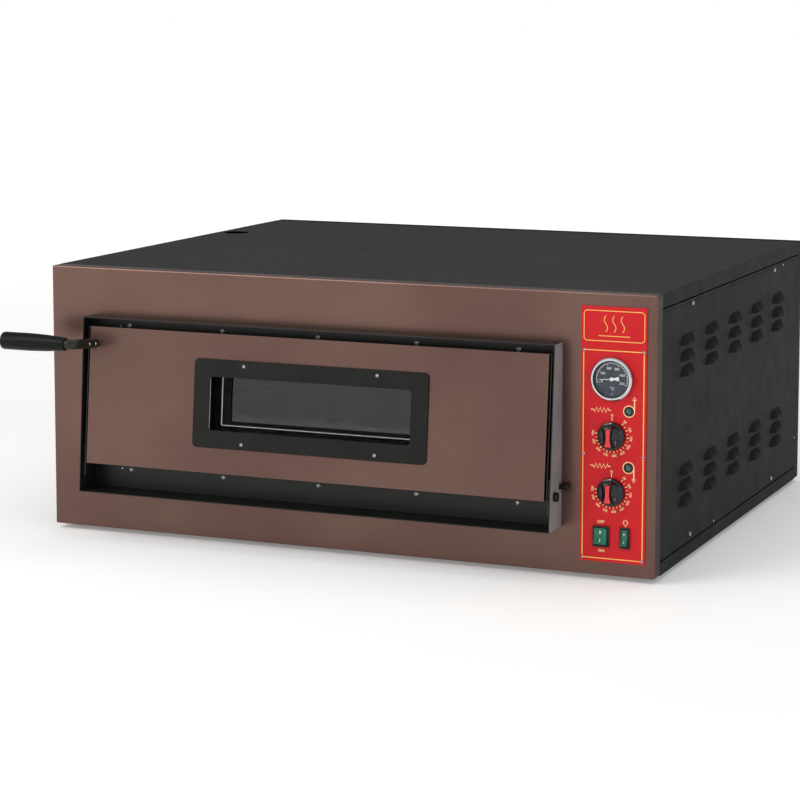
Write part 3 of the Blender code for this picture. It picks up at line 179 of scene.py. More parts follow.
# Each finish: two tones that drift over patches of that many mm, a roughness range,
# and a surface grain of that many mm whose bump is that many mm deep.
finishes = {
    # bronze-toned stainless sheet under clear lacquer: warm brown, blurred reflections, faint mottling
    "bronzeLacqueredSheet": dict(
        tones=("664C44", "6F554C"), patch=240, rough=(0.27, 0.33), metallic=0.9, grain=1.1, depth=0.002, coat=0.1),
    # the folded returns of the bronze sheet: a darker, rougher copy of the bronze, painted shade for their side-on
    # faces
    "bronzeCutEdge": dict(
        tones=("3A2A25", "44332C"), patch=60, rough=(0.50, 0.58), metallic=0.3, grain=0.9, depth=0.003, specular=0.2),
    # black polyester powder coat on steel: fine orange peel, soft wide highlights
    "blackPowderCoat": dict(
        tones=("0D0E0D", "121312"), patch=160, rough=(0.46, 0.51), grain=0.8, depth=0.006, cells=True, specular=0.3),
    # the sides' powder coat, dustier and flatter than the top's
    "flatPowderCoat": dict(
        tones=("0C0D0C", "111211"), patch=160, rough=(0.58, 0.66), grain=0.8, depth=0.006, cells=True, specular=0.14),
    # sooted steel of the window's tunnel walls
    "sootedSteel": dict(
        tones=("050504", "0A0A09"), patch=30, rough=(0.5, 0.6), grain=0.8, depth=0.004, specular=0.12),
    # pale grey on the outsides of the mouth surround, a painted sheen standing in for what their black enamel
    # reflects
    "satinGreyPaint": dict(
        tones=("7C7D7D", "888989"), patch=70, rough=(0.40, 0.50), grain=0.7, depth=0.002, specular=0.35),
    # semi-gloss black stove enamel on the door surround
    "blackStoveEnamel": dict(
        tones=("11110E", "171714"), patch=60, rough=(0.36, 0.42), grain=1.5, depth=0.0015, specular=0.38),
    # black anodised frame round the window, fine matt blast
    "blackAnodisedFrame": dict(
        tones=("0F0F0C", "141411"), patch=40, rough=(0.42, 0.48), grain=0.5, depth=0.003, specular=0.22),
    # moulded black phenolic on the grip and knobs: dense, slightly waxy gloss
    "blackPhenolic": dict(
        tones=("050504", "090908"), patch=25, rough=(0.36, 0.44), grain=0.6, depth=0.003, specular=0.16),
    # the knobs are polished in the mould: small sharp highlights
    "knobPhenolic": dict(
        tones=("040406", "08080B"), patch=14, rough=(0.10, 0.15), grain=0.5, depth=0.0005, specular=0.5),
    # moulded black nylon of the switch frames
    "blackNylon": dict(
        tones=("0E1010", "141616"), patch=12, rough=(0.34, 0.44), grain=0.4, depth=0.004, specular=0.4),
    # back-printed red polycarbonate overlay, satin top
    "redPrintedOverlay": dict(
        tones=("C0131A", "C6171E"), patch=45, rough=(0.38, 0.46), grain=0.5, depth=0.003, specular=0.25),
    # screen-printed inks: flat and even, the borders a deeper yellow, the dial matt white
    "yellowScreenInk": dict(tones=("F8D996", "FBE2A6"), patch=9, rough=(0.45, 0.55), grain=0.3, depth=0.003),
    "yellowBorderInk": dict(tones=("EFB050", "F3BA5C"), patch=9, rough=(0.40, 0.50), grain=0.3, depth=0.003),
    "whiteDialInk": dict(tones=("E4E6E6", "F0F1F0"), patch=6, rough=(0.5, 0.6), grain=0.25, depth=0.002),
    # moulded red inlay: satin plastic
    "redKnobInlay": dict(tones=("D4262A", "DC3034"), patch=8, rough=(0.36, 0.46), grain=0.3, depth=0.003),
    # chromed spun brass bezel: near mirror with faint turning lines
    "polishedChrome": dict(
        tones=("BCBFC2", "CACCCF"), patch=10, rough=(0.06, 0.11), metallic=1.0, grain=0.5, depth=0.001),
    # zinc-plated screws: bluish, slightly cloudy
    "zincPlate": dict(
        tones=("B9BDC2", "CFD2D4"), patch=2.5, rough=(0.20, 0.34), metallic=1.0, grain=0.3, depth=0.003),
    # raised screw heads on the handle rod: near-white and barely metallic, a painted glint so they show bright from
    # every side
    "brightNickel": dict(tones=("F2F2F0", "FAFAFA"), patch=2, rough=(0.2, 0.3), metallic=0.1, grain=0.3, depth=0.001),
    # blackened steel bolts and pins: oily black with grey rubbed edges
    "blackOxideSteel": dict(
        tones=("1B1B1C", "2A2A2B"), patch=3, rough=(0.24, 0.38), metallic=0.7, grain=0.4, depth=0.004),
    # zinc on the small screws: pale, so their slots and glints show
    "dullZinc": dict(tones=("9A9C9E", "B8BABC"), patch=2, rough=(0.20, 0.32), metallic=0.7, grain=0.3, depth=0.002),
    # brushed stainless sheet on the door's inside: long fine scratches along x
    "brushedStainless": dict(
        tones=("9B9B98", "ABABA8"), patch=60, rough=(0.26, 0.38), metallic=1.0, grain=0.7, depth=0.004,
        stretch=(0.03, 1.0, 1.0)),
    # aluminised steel lining, discoloured by heat: pale matt metal with a crystal spangle
    "aluminisedSteel": dict(
        tones=("7D7E7F", "94938F"), patch=28, rough=(0.38, 0.52), metallic=0.9, grain=7.0, depth=0.01, cells=True),
    # fired refractory slab: chalky, open pores, toasted patches
    "refractoryStone": dict(
        tones=("BFA684", "D3C1A2"), patch=38, rough=(0.88, 0.97), grain=1.6, depth=0.12,
        cells=True, fleck=("8A7354", 2.2)),
    # mineral wool: matt, with fibres along x
    "rockWool": dict(
        tones=("A6935C", "C4B27A"), patch=14, rough=(0.95, 1.0), grain=1.5, depth=0.5, stretch=(0.15, 1.0, 1.0)),
    # oxidised heater sheath
    "heaterSheath": dict(
        tones=("3E3A36", "57504A"), patch=18, rough=(0.45, 0.62), metallic=0.75, grain=0.6, depth=0.01),
    # moulded rubber feet: dull, near black
    "mouldedRubber": dict(tones=("101010", "181818"), patch=10, rough=(0.75, 0.88), grain=0.7, depth=0.02, ior=1.52),
    # dial plate and can, blue-grey stoved paint
    "slateDialPaint": dict(tones=("3A404B", "424955"), patch=12, rough=(0.42, 0.5), grain=0.4, depth=0.003),
    # stoved white paint of the needle
    "whiteNeedlePaint": dict(tones=("F2F2EF", "FAFAF8"), patch=5, rough=(0.38, 0.46), grain=0.3, depth=0.002),
    # tinted acrylic lens and translucent polycarbonate rockers
    "greenLampLens": dict(
        tones=("0B3B2E", "12604A"), patch=5, rough=(0.10, 0.16), grain=1.1, depth=0.05, cells=True, ior=1.49,
        coat=0.5),
    "greenRocker": dict(
        tones=("0B5A42", "126A50"), patch=9, rough=(0.20, 0.30), grain=0.6, depth=0.003, specular=0.4, coat=0.15),
    # glazed porcelain: off-white with a soft gloss
    "ceramicHolder": dict(tones=("DAD6C8", "E8E5DA"), patch=9, rough=(0.25, 0.35), grain=0.5, depth=0.005, ior=1.54),
    # natural moulded nylon: creamy and satin
    "whiteNylon": dict(tones=("D9D7CE", "E6E4DC"), patch=12, rough=(0.42, 0.52), grain=0.5, depth=0.006, ior=1.53),
}
# Clear and smoked glass: a little dust in the roughness, thin float-glass ripple
glasses = {
    "clearGaugeLens": dict(tint="F6F8F7", rough=(0.0, 0.01), patch=35, ripple=0.0, ior=1.08),
    "clearFloatGlass": dict(tint="EEF2F0", rough=(0.02, 0.05), patch=35, ripple=0.002, ior=1.5),
    "clearOvenPane": dict(tint="FAFBFA", rough=(0.0, 0.01), patch=50, ripple=0.0, ior=1.03),
    "smokedOvenGlass": dict(tint="464644", rough=(0.02, 0.05), patch=50, ripple=0.001, ior=1.68),
}
materials = {}

# What all finishes share: where tones, smudges, flecks and dust begin and end, and how fine the smudges are
pattern = {"tones": (0.38, 0.62), "smudges": (0.3, 0.7), "smudgeFiner": 3.1, "flecks": (0.12, 0.28),
           "fleckShare": 0.8, "coatRoughness": 0.18, "dust": (0.4, 0.75), "rippleScale": 18.0}


def newMaterial(name):
    material = bpy.data.materials.new(name)
    material.use_nodes = True
    return material, material.node_tree, material.node_tree.nodes["Principled BSDF"]


def makeFinish(name, tones, patch, rough, grain, depth, metallic=0.0, coat=0.0, ior=1.5, specular=0.5, cells=False,
               stretch=(1.0, 1.0, 1.0), fleck=None):
    materials[name], tree, shader = newMaterial(name)
    place = addNode(tree, "ShaderNodeTexCoord").outputs["Object"]
    spread = addNode(tree, "ShaderNodeMapping", {"Vector": place, "Scale": stretch})
    drift = addNode(tree, "ShaderNodeTexNoise",
                    {"Vector": spread, "Scale": 1 / (patch * mm), "Detail": 4.0, "Roughness": 0.55})
    colour = addNode(tree, "ShaderNodeValToRGB", {"Fac": drift})
    for element, position, code in zip(colour.color_ramp.elements, pattern["tones"], tones):
        element.position = position
        element.color = linearColour(code)
    if fleck:
        spots = addNode(tree, "ShaderNodeTexVoronoi", {"Vector": spread, "Scale": 1 / (fleck[1] * mm)})
        low, high = pattern["flecks"]
        where = addNode(tree, "ShaderNodeMapRange", {
            "Value": spots, "From Min": low, "From Max": high, "To Min": pattern["fleckShare"], "To Max": 0.0})
        colour = addNode(tree, "ShaderNodeMix", {0: where, 6: colour, 7: linearColour(fleck[0])},
                         data_type="RGBA").outputs[2]
    smudge = addNode(tree, "ShaderNodeTexNoise", {
        "Vector": spread, "Scale": pattern["smudgeFiner"] / (patch * mm), "Detail": 5.0, "Roughness": 0.62})
    low, high = pattern["smudges"]
    polish = addNode(tree, "ShaderNodeMapRange", {
        "Value": smudge, "From Min": low, "From Max": high, "To Min": rough[0], "To Max": rough[1]})
    if cells:
        relief = addNode(tree, "ShaderNodeTexVoronoi", {"Vector": spread, "Scale": 1 / (grain * mm)},
                         feature="SMOOTH_F1")
    else:
        relief = addNode(tree, "ShaderNodeTexNoise", {"Vector": spread, "Scale": 1 / (grain * mm), "Detail": 3.0})
    bump = addNode(tree, "ShaderNodeBump", {"Height": relief, "Distance": depth * mm, "Strength": 1.0})
    setInputs(shader, {"Metallic": metallic, "IOR": ior, "Specular IOR Level": specular, "Coat Weight": coat,
                       "Coat Roughness": pattern["coatRoughness"], "Base Color": colour, "Roughness": polish,
                       "Normal": bump})


def makeGlass(name, tint, rough, patch, ripple, ior):
    materials[name], tree, shader = newMaterial(name)
    place = addNode(tree, "ShaderNodeTexCoord").outputs["Object"]
    dust = addNode(tree, "ShaderNodeTexNoise", {"Vector": place, "Scale": 1 / (patch * mm), "Detail": 6.0})
    low, high = pattern["dust"]
    haze = addNode(tree, "ShaderNodeMapRange", {
        "Value": dust, "From Min": low, "From Max": high, "To Min": rough[0], "To Max": rough[1]})
    tone = addNode(tree, "ShaderNodeValToRGB", {"Fac": dust})
    tone.color_ramp.elements[0].color = linearColour(tint)
    tone.color_ramp.elements[1].color = [min(1.0, c * 1.08) for c in linearColour(tint)]
    waves = addNode(tree, "ShaderNodeTexNoise", {"Vector": place, "Scale": pattern["rippleScale"], "Detail": 1.0})
    bump = addNode(tree, "ShaderNodeBump", {"Height": waves, "Distance": ripple * mm})
    setInputs(shader, {"Transmission Weight": 1.0, "IOR": ior, "Base Color": tone, "Roughness": haze,
                       "Normal": bump})


for name, spec in finishes.items():
    makeFinish(name, **spec)
for name, spec in glasses.items():
    makeGlass(name, **spec)
print("materials made:", len(materials))

# The nodes that wear each finish
wearers = {
    "bronzeLacqueredSheet": "front_panel door_skin",
    "blackPowderCoat": "top_cover side_panel_left side_panel_right",
    "flatPowderCoat": "back_panel base_pan",
    "blackStoveEnamel": "mouth_collar door_frame window_sleeve handle_rod",
    "blackAnodisedFrame": "window_frame",
    "blackPhenolic": "handle_grip",
    "blackOxideSteel": "hinge_bolt_left hinge_bolt_right door_stop_left door_stop_right",
    "brushedStainless": "door_inner_panel",
    "rockWool": "door_insulation insulation_blanket insulation_back",
    "aluminisedSteel": "inner_partition chamber_liner",
    "heaterSheath": "stone_rack lower_element_left lower_element_right upper_element_left upper_element_right",
    "refractoryStone": "baking_stone_left baking_stone_right",
    "ceramicHolder": "chamber_lamp_holder",
    "clearFloatGlass": "chamber_lamp_glass",
    "clearOvenPane": "window_glass_outer",
    "smokedOvenGlass": "window_glass_inner",
    "redPrintedOverlay": "control_fascia",
    "slateDialPaint": "thermometer_case",
    "polishedChrome": "thermometer_bezel",
    "clearGaugeLens": "thermometer_lens",
    "whiteNeedlePaint": "thermometer_needle",
    "zincPlate": "upper_thermostat lower_thermostat",
    "blackNylon": "main_switch_body light_switch_body cable_gland",
    "greenRocker": "main_rocker light_rocker",
    "whiteNylon": "terminal_block",
    "mouldedRubber": "foot_front_left foot_front_right foot_back_left foot_back_right",
}
nodeFinish = {node: finish for finish, nodes in wearers.items() for node in nodes.split()}
for node, finish in nodeFinish.items():
    slots = frame["nodes"][node].data.materials
    slots.clear()
    slots.append(materials[finish])

# Nodes whose edges and curves are softened: the edge round in mm, 0 where only the shading is smoothed
softened = {
    "door_skin": 0.5, "mouth_collar": 0.5, "door_frame": 0.4, "window_frame": 0.7, "window_sleeve": 0.3,
    "handle_rod": 0.0, "handle_grip": 0.6, "thermometer_bezel": 0.0, "main_switch_body": 0.5,
    "light_switch_body": 0.5, "main_rocker": 0.5, "light_rocker": 0.4, "cable_gland": 0.4,
    "hinge_bolt_left": 0.3, "hinge_bolt_right": 0.3, "door_stop_left": 0.3, "door_stop_right": 0.3,
    "control_fascia": 0.25, "foot_front_left": 0.6, "foot_front_right": 0.6, "foot_back_left": 0.6,
    "foot_back_right": 0.6, "thermometer_case": 0.0, "top_cover": 0.6,
}


def soften(node, width):
    bm = bmesh.new()
    bm.from_mesh(frame["nodes"][node].data)
    bmesh.ops.remove_doubles(bm, verts=bm.verts, dist=0.00001)
    bmesh.ops.dissolve_limit(bm, angle_limit=math.radians(0.6), verts=bm.verts, edges=bm.edges)
    thing = newObject(node + "_soft", meshFrom(bm, node))
    if width:
        roundEdges(thing, width)
    return addPiece(node + "_soft", meshOf(thing), nodeFinish[node], frame["nodes"][node]["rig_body"], (node,),
                    edges="flat" if width else "turned")


def finishFlanks(mesh, finish, low, high):
    # a second finish on the faces that look outwards within 3 mm of the left and right ends
    mesh.materials.append(materials[finish])
    edge = 3.0 * mm
    for face in mesh.polygons:
        leftSide = face.normal.x < -0.95 and face.center.x < low.x + edge
        rightSide = face.normal.x > 0.95 and face.center.x > high.x - edge
        face.material_index = 1 if leftSide or rightSide else 0


# the mouth collar's side flanks are painted pale grey: a painted sheen
flanks = {"mouth_collar": "satinGreyPaint", "top_cover": "flatPowderCoat"}
gripShrink = 0.93  # the moulded grip is a little shorter than its CAD envelope
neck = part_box("handle_grip")[1].x
for node, width in softened.items():
    piece = soften(node, width)
    if node in flanks:
        finishFlanks(piece.data, flanks[node], *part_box(node))
    if node in ("handle_grip", "handle_rod"):
        for vertex in piece.data.vertices:
            if vertex.co.x < neck:
                vertex.co.x = neck + (vertex.co.x - neck) * gripShrink
# the panel's side returns take the darker bronze copy: painted shade
finishFlanks(frame["nodes"]["front_panel"].data, "bronzeCutEdge", panelLow, panelHigh)
print("edges softened:", len(softened))


def lathe(profile, centre, steps=48):
    # the profile is (radius, height) in mm, turned round the y axis with its height towards the front
    bm = bmesh.new()
    points = [bm.verts.new((r * mm, -h * mm, 0.0)) for r, h in profile]
    lines = [bm.edges.new(pair) for pair in zip(points, points[1:])]
    bmesh.ops.spin(bm, geom=points + lines, cent=(0, 0, 0), axis=(0, 1, 0), angle=math.tau, steps=steps)
    bmesh.ops.remove_doubles(bm, verts=bm.verts, dist=0.000002)
    bmesh.ops.recalc_face_normals(bm, faces=bm.faces)
    bmesh.ops.translate(bm, verts=bm.verts, vec=centre)
    return meshFrom(bm, "lathe")


# Geometry Nodes trees: each is opened with its named inputs and closed with its finish

def openTree(name, inputs):
    tree = bpy.data.node_groups.new(name, "GeometryNodeTree")
    for label, kind in {"Geometry": "Geometry", **inputs, "Finish": "Material"}.items():
        tree.interface.new_socket(label, in_out="INPUT", socket_type="NodeSocket" + kind)
    tree.interface.new_socket("Geometry", in_out="OUTPUT", socket_type="NodeSocketGeometry")
    return tree, addNode(tree, "NodeGroupInput").outputs


def closeTree(tree, copies, given):
    real = addNode(tree, "GeometryNodeRealizeInstances", (copies,))
    painted = addNode(tree, "GeometryNodeSetMaterial", {"Geometry": real, "Material": given["Finish"]})
    addNode(tree, "NodeGroupOutput", (painted,))
    return tree


def runTree(name, tree, values, points=()):
    mesh = bpy.data.meshes.new(name)
    mesh.from_pydata([tuple(p) for p in points], [], [])
    thing = newObject(name, mesh)
    modifier = thing.modifiers.new(name, "NODES")
    modifier.node_group = tree
    sockets = {item.name: item.identifier for item in tree.interface.items_tree if item.in_out == "INPUT"}
    for label, value in values.items():
        modifier[sockets[label]] = value
    return meshOf(thing)


# Screws, made by one tree that sets a cross-slot head on each point. Sizes in mm.
screwKinds = {
    "mouth": dict(radius=3.8, height=1.9, slot=1.1),
    "window": dict(radius=2.7, height=1.4, slot=1.3),
    "handle": dict(radius=3.2, height=1.6, slot=1.0),
    "panel": dict(radius=3.8, height=2.1, slot=1.1),
    "fascia": dict(radius=2.3, height=1.2, slot=0.8),
    "rivet": dict(radius=2.0, height=0.9, slot=0.01),
}
# the head's own proportions, as shares of its radius or height
headShape = {"rim": 0.35, "crown": 0.62, "domeBase": 0.98, "slotLength": 1.15, "slotDepth": 1.2, "facets": 24}


def makeScrewTree():
    tree, given = openTree("screwHeads", {
        "Head radius": "Float", "Head height": "Float", "Slot width": "Float", "Facing": "Vector", "Seed": "Int"})
    radius, height, shape = given["Head radius"], given["Head height"], headShape
    rimHeight, slotDeep = [addNode(tree, "ShaderNodeMath", (height, shape[share]), operation="MULTIPLY")
                           for share in ("rim", "slotDepth")]
    crown, slotLong = [addNode(tree, "ShaderNodeMath", (radius, shape[share]), operation="MULTIPLY")
                       for share in ("crown", "slotLength")]
    domeHeight = addNode(tree, "ShaderNodeMath", (height, rimHeight), operation="SUBTRACT")
    rim = addNode(tree, "GeometryNodeMeshCylinder", {
        "Vertices": shape["facets"], "Radius": radius, "Depth": rimHeight})
    dome = addNode(tree, "GeometryNodeMeshCone", {
        "Vertices": shape["facets"], "Radius Top": crown, "Radius Bottom": radius, "Depth": domeHeight})
    placed = []
    for part, share in ((rim, 0.5), (dome, shape["domeBase"])):
        rise = addNode(tree, "ShaderNodeMath", (rimHeight, share), operation="MULTIPLY")
        place = addNode(tree, "ShaderNodeCombineXYZ", {"Z": rise})
        placed.append(addNode(tree, "GeometryNodeTransform", {"Geometry": part, "Translation": place}))
    head = addNode(tree, "GeometryNodeMeshBoolean", {"Mesh 2": placed[0]}, operation="UNION", solver="EXACT")
    setInputs(head, {"Mesh 2": placed[1]})
    slotUp = addNode(tree, "ShaderNodeCombineXYZ", {"Z": height})
    for across, along in (("X", "Y"), ("Y", "X")):
        size = addNode(tree, "ShaderNodeCombineXYZ", {across: slotLong, along: given["Slot width"], "Z": slotDeep})
        bar = addNode(tree, "GeometryNodeMeshCube", {"Size": size})
        barPlaced = addNode(tree, "GeometryNodeTransform", {"Geometry": bar, "Translation": slotUp})
        head = addNode(tree, "GeometryNodeMeshBoolean", {"Mesh 1": head, "Mesh 2": barPlaced},
                       operation="DIFFERENCE", solver="EXACT")
    spin = addNode(tree, "FunctionNodeRandomValue", {
        "Min": (0, 0, 0), "Max": (0, 0, math.pi / 2), "Seed": given["Seed"]}, data_type="FLOAT_VECTOR")
    heads = addNode(tree, "GeometryNodeInstanceOnPoints", {
        "Points": given["Geometry"], "Instance": head, "Rotation": given["Facing"]})
    turned = addNode(tree, "GeometryNodeRotateInstances", {"Instances": heads, "Rotation": spin})
    return closeTree(tree, turned, given)


screwTree = makeScrewTree()
doorLean = math.radians(5.3)  # the door leans back by this much
doorPivot = at(-34.5, -34.0, 119.0)
doorTurn = Matrix.Translation(doorPivot) @ Matrix.Rotation(-doorLean, 4, "X")
# which way a head looks, as the turn of its axis from +z
facing = {"front": (math.pi / 2, 0, 0), "door": (math.pi / 2 - doorLean, 0, 0), "back": (-math.pi / 2, 0, 0),
          "right": (0, math.pi / 2, 0), "left": (0, -math.pi / 2, 0)}


def onDoor(x, y, z):
    return doorTurn @ (Vector((x, y, z)) * mm)


def addScrews(name, kind, points, way, body, seed, finish="dullZinc", replaced=()):
    size = screwKinds[kind]
    made = runTree(name, screwTree, {
        "Head radius": size["radius"] * mm, "Head height": size["height"] * mm, "Slot width": size["slot"] * mm,
        "Facing": facing[way], "Seed": seed, "Finish": materials[finish]}, points)
    return addPiece(name, made, finish, body, replaced, edges="head")


# Where the screws and rivets sit, in mm on the face that holds them
screwSpots = {
    "mouth_screws": [(x - 36.0, z) for x in (-328, -164, 0, 164, 328) for z in (330.5, 98.8)],
    "mouth_rivets": [(-380, 328.5), (-380, 99.5)],
    "window_screws": [(x, 102 + z) for x in (-112, 112) for z in (-60.5, 60.5)],
    "fascia_screws": [(440.0 + x, z) for x in (-45.7, 45.7) for z in (26, 181, 336)],
    "side_screws": [(179, 389), (662, 388), (179, 33), (662, 31)],
    "side_rivets": [(719, 391), (310, 27), (819, 75)],
    "back_screws": [(x, z) for x in (-490, -245, 0, 245, 490) for z in (13, 407)],
}
skinFace, sideFace, backFace = -16.7, 505.2, 850.0  # mm from the door's pivot, the middle line and the front
for name, kind, seed in (("mouth_screws", "mouth", 3), ("mouth_rivets", "rivet", 4)):
    addScrews(name, kind, [at(x, frontFace, z) for x, z in screwSpots[name]], "front", "casing", seed)
windowHeads = [onDoor(x, skinFace, z) for x, z in screwSpots["window_screws"]]
addScrews("window_screws", "window", windowHeads, "door", "door", 5)
fasciaHeads = [at(x, frontFace, z) for x, z in screwSpots["fascia_screws"]]
addScrews("fascia_screws", "fascia", fasciaHeads, "front", "casing", 6)
for side, sign in (("right", 1), ("left", -1)):
    for name, kind, seed in (("side_screws", "panel", 7), ("side_rivets", "rivet", 12)):
        addScrews(name + "_" + side, kind, [at(sideFace * sign, y, z) for y, z in screwSpots[name]], side,
                  "casing", seed + sign)
addScrews("back_screws", "panel", [at(x, backFace, z) for x, z in screwSpots["back_screws"]], "back", "casing", 21)
handleNodes = ("handle_screw_1", "handle_screw_2")
bedded = Vector((-1.2, 0, 0)) * mm  # the heads start this far inside the middle of their nodes
handleHeads = [sum(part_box(node), Vector()) / 2 + bedded for node in handleNodes]
# the handle screws carry a painted glint: near-white heads
addScrews("handle_screws", "handle", handleHeads, "right", "door", 30, "brightNickel", handleNodes)
print("screws set")


def doorBox(node):
    # lowest and highest corners in mm, in the leaning door's own axes
    back = doorTurn.inverted()
    points = [back @ v.co / mm for v in frame["nodes"][node].data.vertices]
    return [Vector([pick(p[i] for p in points) for i in range(3)]) for pick in (min, max)]


def boxMesh(boxes):
    bm = bmesh.new()
    for low, high in boxes:
        made = bmesh.ops.create_cube(bm, size=1.0)["verts"]
        size = Matrix.Diagonal([abs(s) for s in high - low] + [1])
        bmesh.ops.transform(bm, verts=made, matrix=Matrix.Translation((low + high) / 2) @ size)
    return meshFrom(bm, "boxes")


# Louvred sides: a plate with slots, and pressed hoods set on it by one tree. Sizes in mm.
louvre = {"length": 82.0, "height": 15.0, "depth": 8.3, "sheet": 1.2, "endRamp": 0.62, "middleY": 421.0,
          "pitchY": 133.5, "pitchZ": 23.7, "rows": (314.0, 116.0), "slotLength": 66.0, "slotHeight": 6.0,
          "foot": 0.45, "bulge": 1.7, "shoulder": 0.3, "shoulderLow": 0.25, "taper": 0.16, "across": 29, "up": 9}
sidePlate = {"front": 26.6, "back": 823.4, "low": 22.4, "high": 391.0, "hemTop": 396.2, "hemStep": 0.5,
             "outer": 505.0, "sheet": 1.2}


def makeLouvreTree():
    tree, given = openTree("pressedLouvres", {
        "Length": "Float", "Height": "Float", "Depth": "Float", "End ramp": "Float", "Facing": "Vector"})
    grid = addNode(tree, "GeometryNodeMeshGrid", {
        "Size X": given["Length"], "Size Y": given["Height"], "Vertices X": louvre["across"],
        "Vertices Y": louvre["up"]})
    spot = addNode(tree, "ShaderNodeSeparateXYZ", (addNode(tree, "GeometryNodeInputPosition"),))
    x, y = spot.outputs["X"], spot.outputs["Y"]
    halfLength = addNode(tree, "ShaderNodeMath", (given["Length"], 0.5), operation="MULTIPLY")
    along = addNode(tree, "ShaderNodeMath", (x, halfLength), operation="DIVIDE")
    fromMiddle = addNode(tree, "ShaderNodeMath", (along,), operation="ABSOLUTE")
    fromEnd = addNode(tree, "ShaderNodeMath", (1.0, fromMiddle), operation="SUBTRACT")
    climb, rounding = [addNode(tree, "ShaderNodeMapRange", {"Value": fromEnd, "From Max": end},
                               interpolation_type="SMOOTHSTEP") for end in (given["End ramp"], louvre["shoulder"])]
    upHood = addNode(tree, "ShaderNodeMath", (y, given["Height"]), operation="DIVIDE")
    share = addNode(tree, "ShaderNodeMath", (upHood, 0.5), operation="ADD")  # 0 at the lanced edge
    fall = addNode(tree, "ShaderNodeMath", (share, louvre["bulge"]), operation="POWER")
    bulge = addNode(tree, "ShaderNodeMath", (1.0, fall), operation="SUBTRACT")
    low = louvre["shoulderLow"]
    shoulder = addNode(tree, "ShaderNodeMath", (rounding, 1 - low, low), operation="MULTIPLY_ADD")
    taper = addNode(tree, "ShaderNodeMath", (share, -louvre["taper"], 1.0), operation="MULTIPLY_ADD")
    moved = addNode(tree, "ShaderNodeCombineXYZ")
    for axis, product, *factors in (("X", x, taper), ("Y", share, shoulder, given["Height"]),
                                    ("Z", climb, bulge, given["Depth"])):
        for factor in factors:
            product = addNode(tree, "ShaderNodeMath", (product, factor), operation="MULTIPLY")
        setInputs(moved, {axis: product})
    hood = addNode(tree, "GeometryNodeSetPosition", {"Geometry": grid, "Position": moved})
    hoods = addNode(tree, "GeometryNodeInstanceOnPoints", {
        "Points": given["Geometry"], "Instance": hood, "Rotation": given["Facing"]})
    return closeTree(tree, hoods, given)


louvreTree = makeLouvreTree()


def addSide(side, sign):
    p = sidePlate
    spots = [(louvre["middleY"] + column * louvre["pitchY"], row + step * louvre["pitchZ"])
             for row in louvre["rows"] for column in range(-2, 3) for step in (-1, 0, 1)]
    foot = louvre["height"] * louvre["foot"]
    points = [at(sign * (p["outer"] + 0.02), y, z - foot) for y, z in spots]
    hoods = newObject("hoods", runTree("louvres", louvreTree, {
        "Length": louvre["length"] * mm, "Height": louvre["height"] * mm, "Depth": louvre["depth"] * mm,
        "End ramp": louvre["endRamp"], "Facing": (math.pi / 2, 0, sign * math.pi / 2),
        "Finish": materials["flatPowderCoat"]}, points))
    wall = hoods.modifiers.new("wall", "SOLIDIFY")
    wall.thickness = louvre["sheet"] * mm
    wall.offset = -1.0
    addPiece("side_louvres_" + side, meshOf(hoods), "flatPowderCoat", "casing", edges="print")

    inner = sign * (p["outer"] - p["sheet"])
    face = sign * p["outer"]
    halfSlot = louvre["slotLength"] / 2
    plate = newObject("plate", boxMesh([(at(inner, p["front"], p["low"]), at(face, p["back"], p["high"]))]))
    slots = newObject("slots", boxMesh([
        (at(inner - sign, y - halfSlot, z - foot), at(face + sign, y + halfSlot, z - foot + louvre["slotHeight"]))
        for y, z in spots]))
    hem = boxMesh([(at(inner, p["front"], p["high"] - 1),
                    at(face - sign * p["hemStep"], p["back"], p["hemTop"]))])
    addPiece("side_plate_" + side, joined([cutAway(plate, [slots]), hem]), "flatPowderCoat", "casing",
             ("side_panel_" + side,), edges="flat")


addSide("right", 1)
addSide("left", -1)
print("louvred sides made")


# Ticks round a dial or knob, made by one tree

def makeTickTree():
    tree, given = openTree("ringOfTicks", {
        "Count": "Int", "Start angle": "Float", "Step angle": "Float", "Radius": "Float", "Length": "Float",
        "Width": "Float", "Thickness": "Float", "Centre": "Vector"})
    index = addNode(tree, "GeometryNodeInputIndex")
    angle = addNode(tree, "ShaderNodeMath", (index, given["Step angle"], given["Start angle"]),
                    operation="MULTIPLY_ADD")
    spot = addNode(tree, "ShaderNodeCombineXYZ")
    for axis, wave in (("X", "COSINE"), ("Z", "SINE")):
        share = addNode(tree, "ShaderNodeMath", (angle,), operation=wave)
        setInputs(spot, {axis: addNode(tree, "ShaderNodeMath", (share, given["Radius"]), operation="MULTIPLY")})
    placed = addNode(tree, "ShaderNodeVectorMath", (spot, given["Centre"]), operation="ADD")
    points = addNode(tree, "GeometryNodePoints", {"Count": given["Count"], "Position": placed})
    size = addNode(tree, "ShaderNodeCombineXYZ", (given["Length"], given["Thickness"], given["Width"]))
    bar = addNode(tree, "GeometryNodeMeshCube", {"Size": size})
    back = addNode(tree, "ShaderNodeMath", (angle, -1.0), operation="MULTIPLY")
    turn = addNode(tree, "ShaderNodeCombineXYZ", {"Y": back})
    bars = addNode(tree, "GeometryNodeInstanceOnPoints", {"Points": points, "Instance": bar, "Rotation": turn})
    return closeTree(tree, bars, given)


tickTree = makeTickTree()
inkDepth = 0.12  # mm that printed marks stand off their surface, thick enough not to flicker


def ticks(centre, count, start, step, radius, length, width, material):
    return runTree("ticks", tickTree, {
        "Count": count, "Start angle": math.radians(start), "Step angle": math.radians(step),
        "Radius": (radius + length / 2) * mm, "Length": length * mm, "Width": width * mm,
        "Thickness": 2 * inkDepth * mm, "Centre": tuple(centre), "Finish": materials[material]})


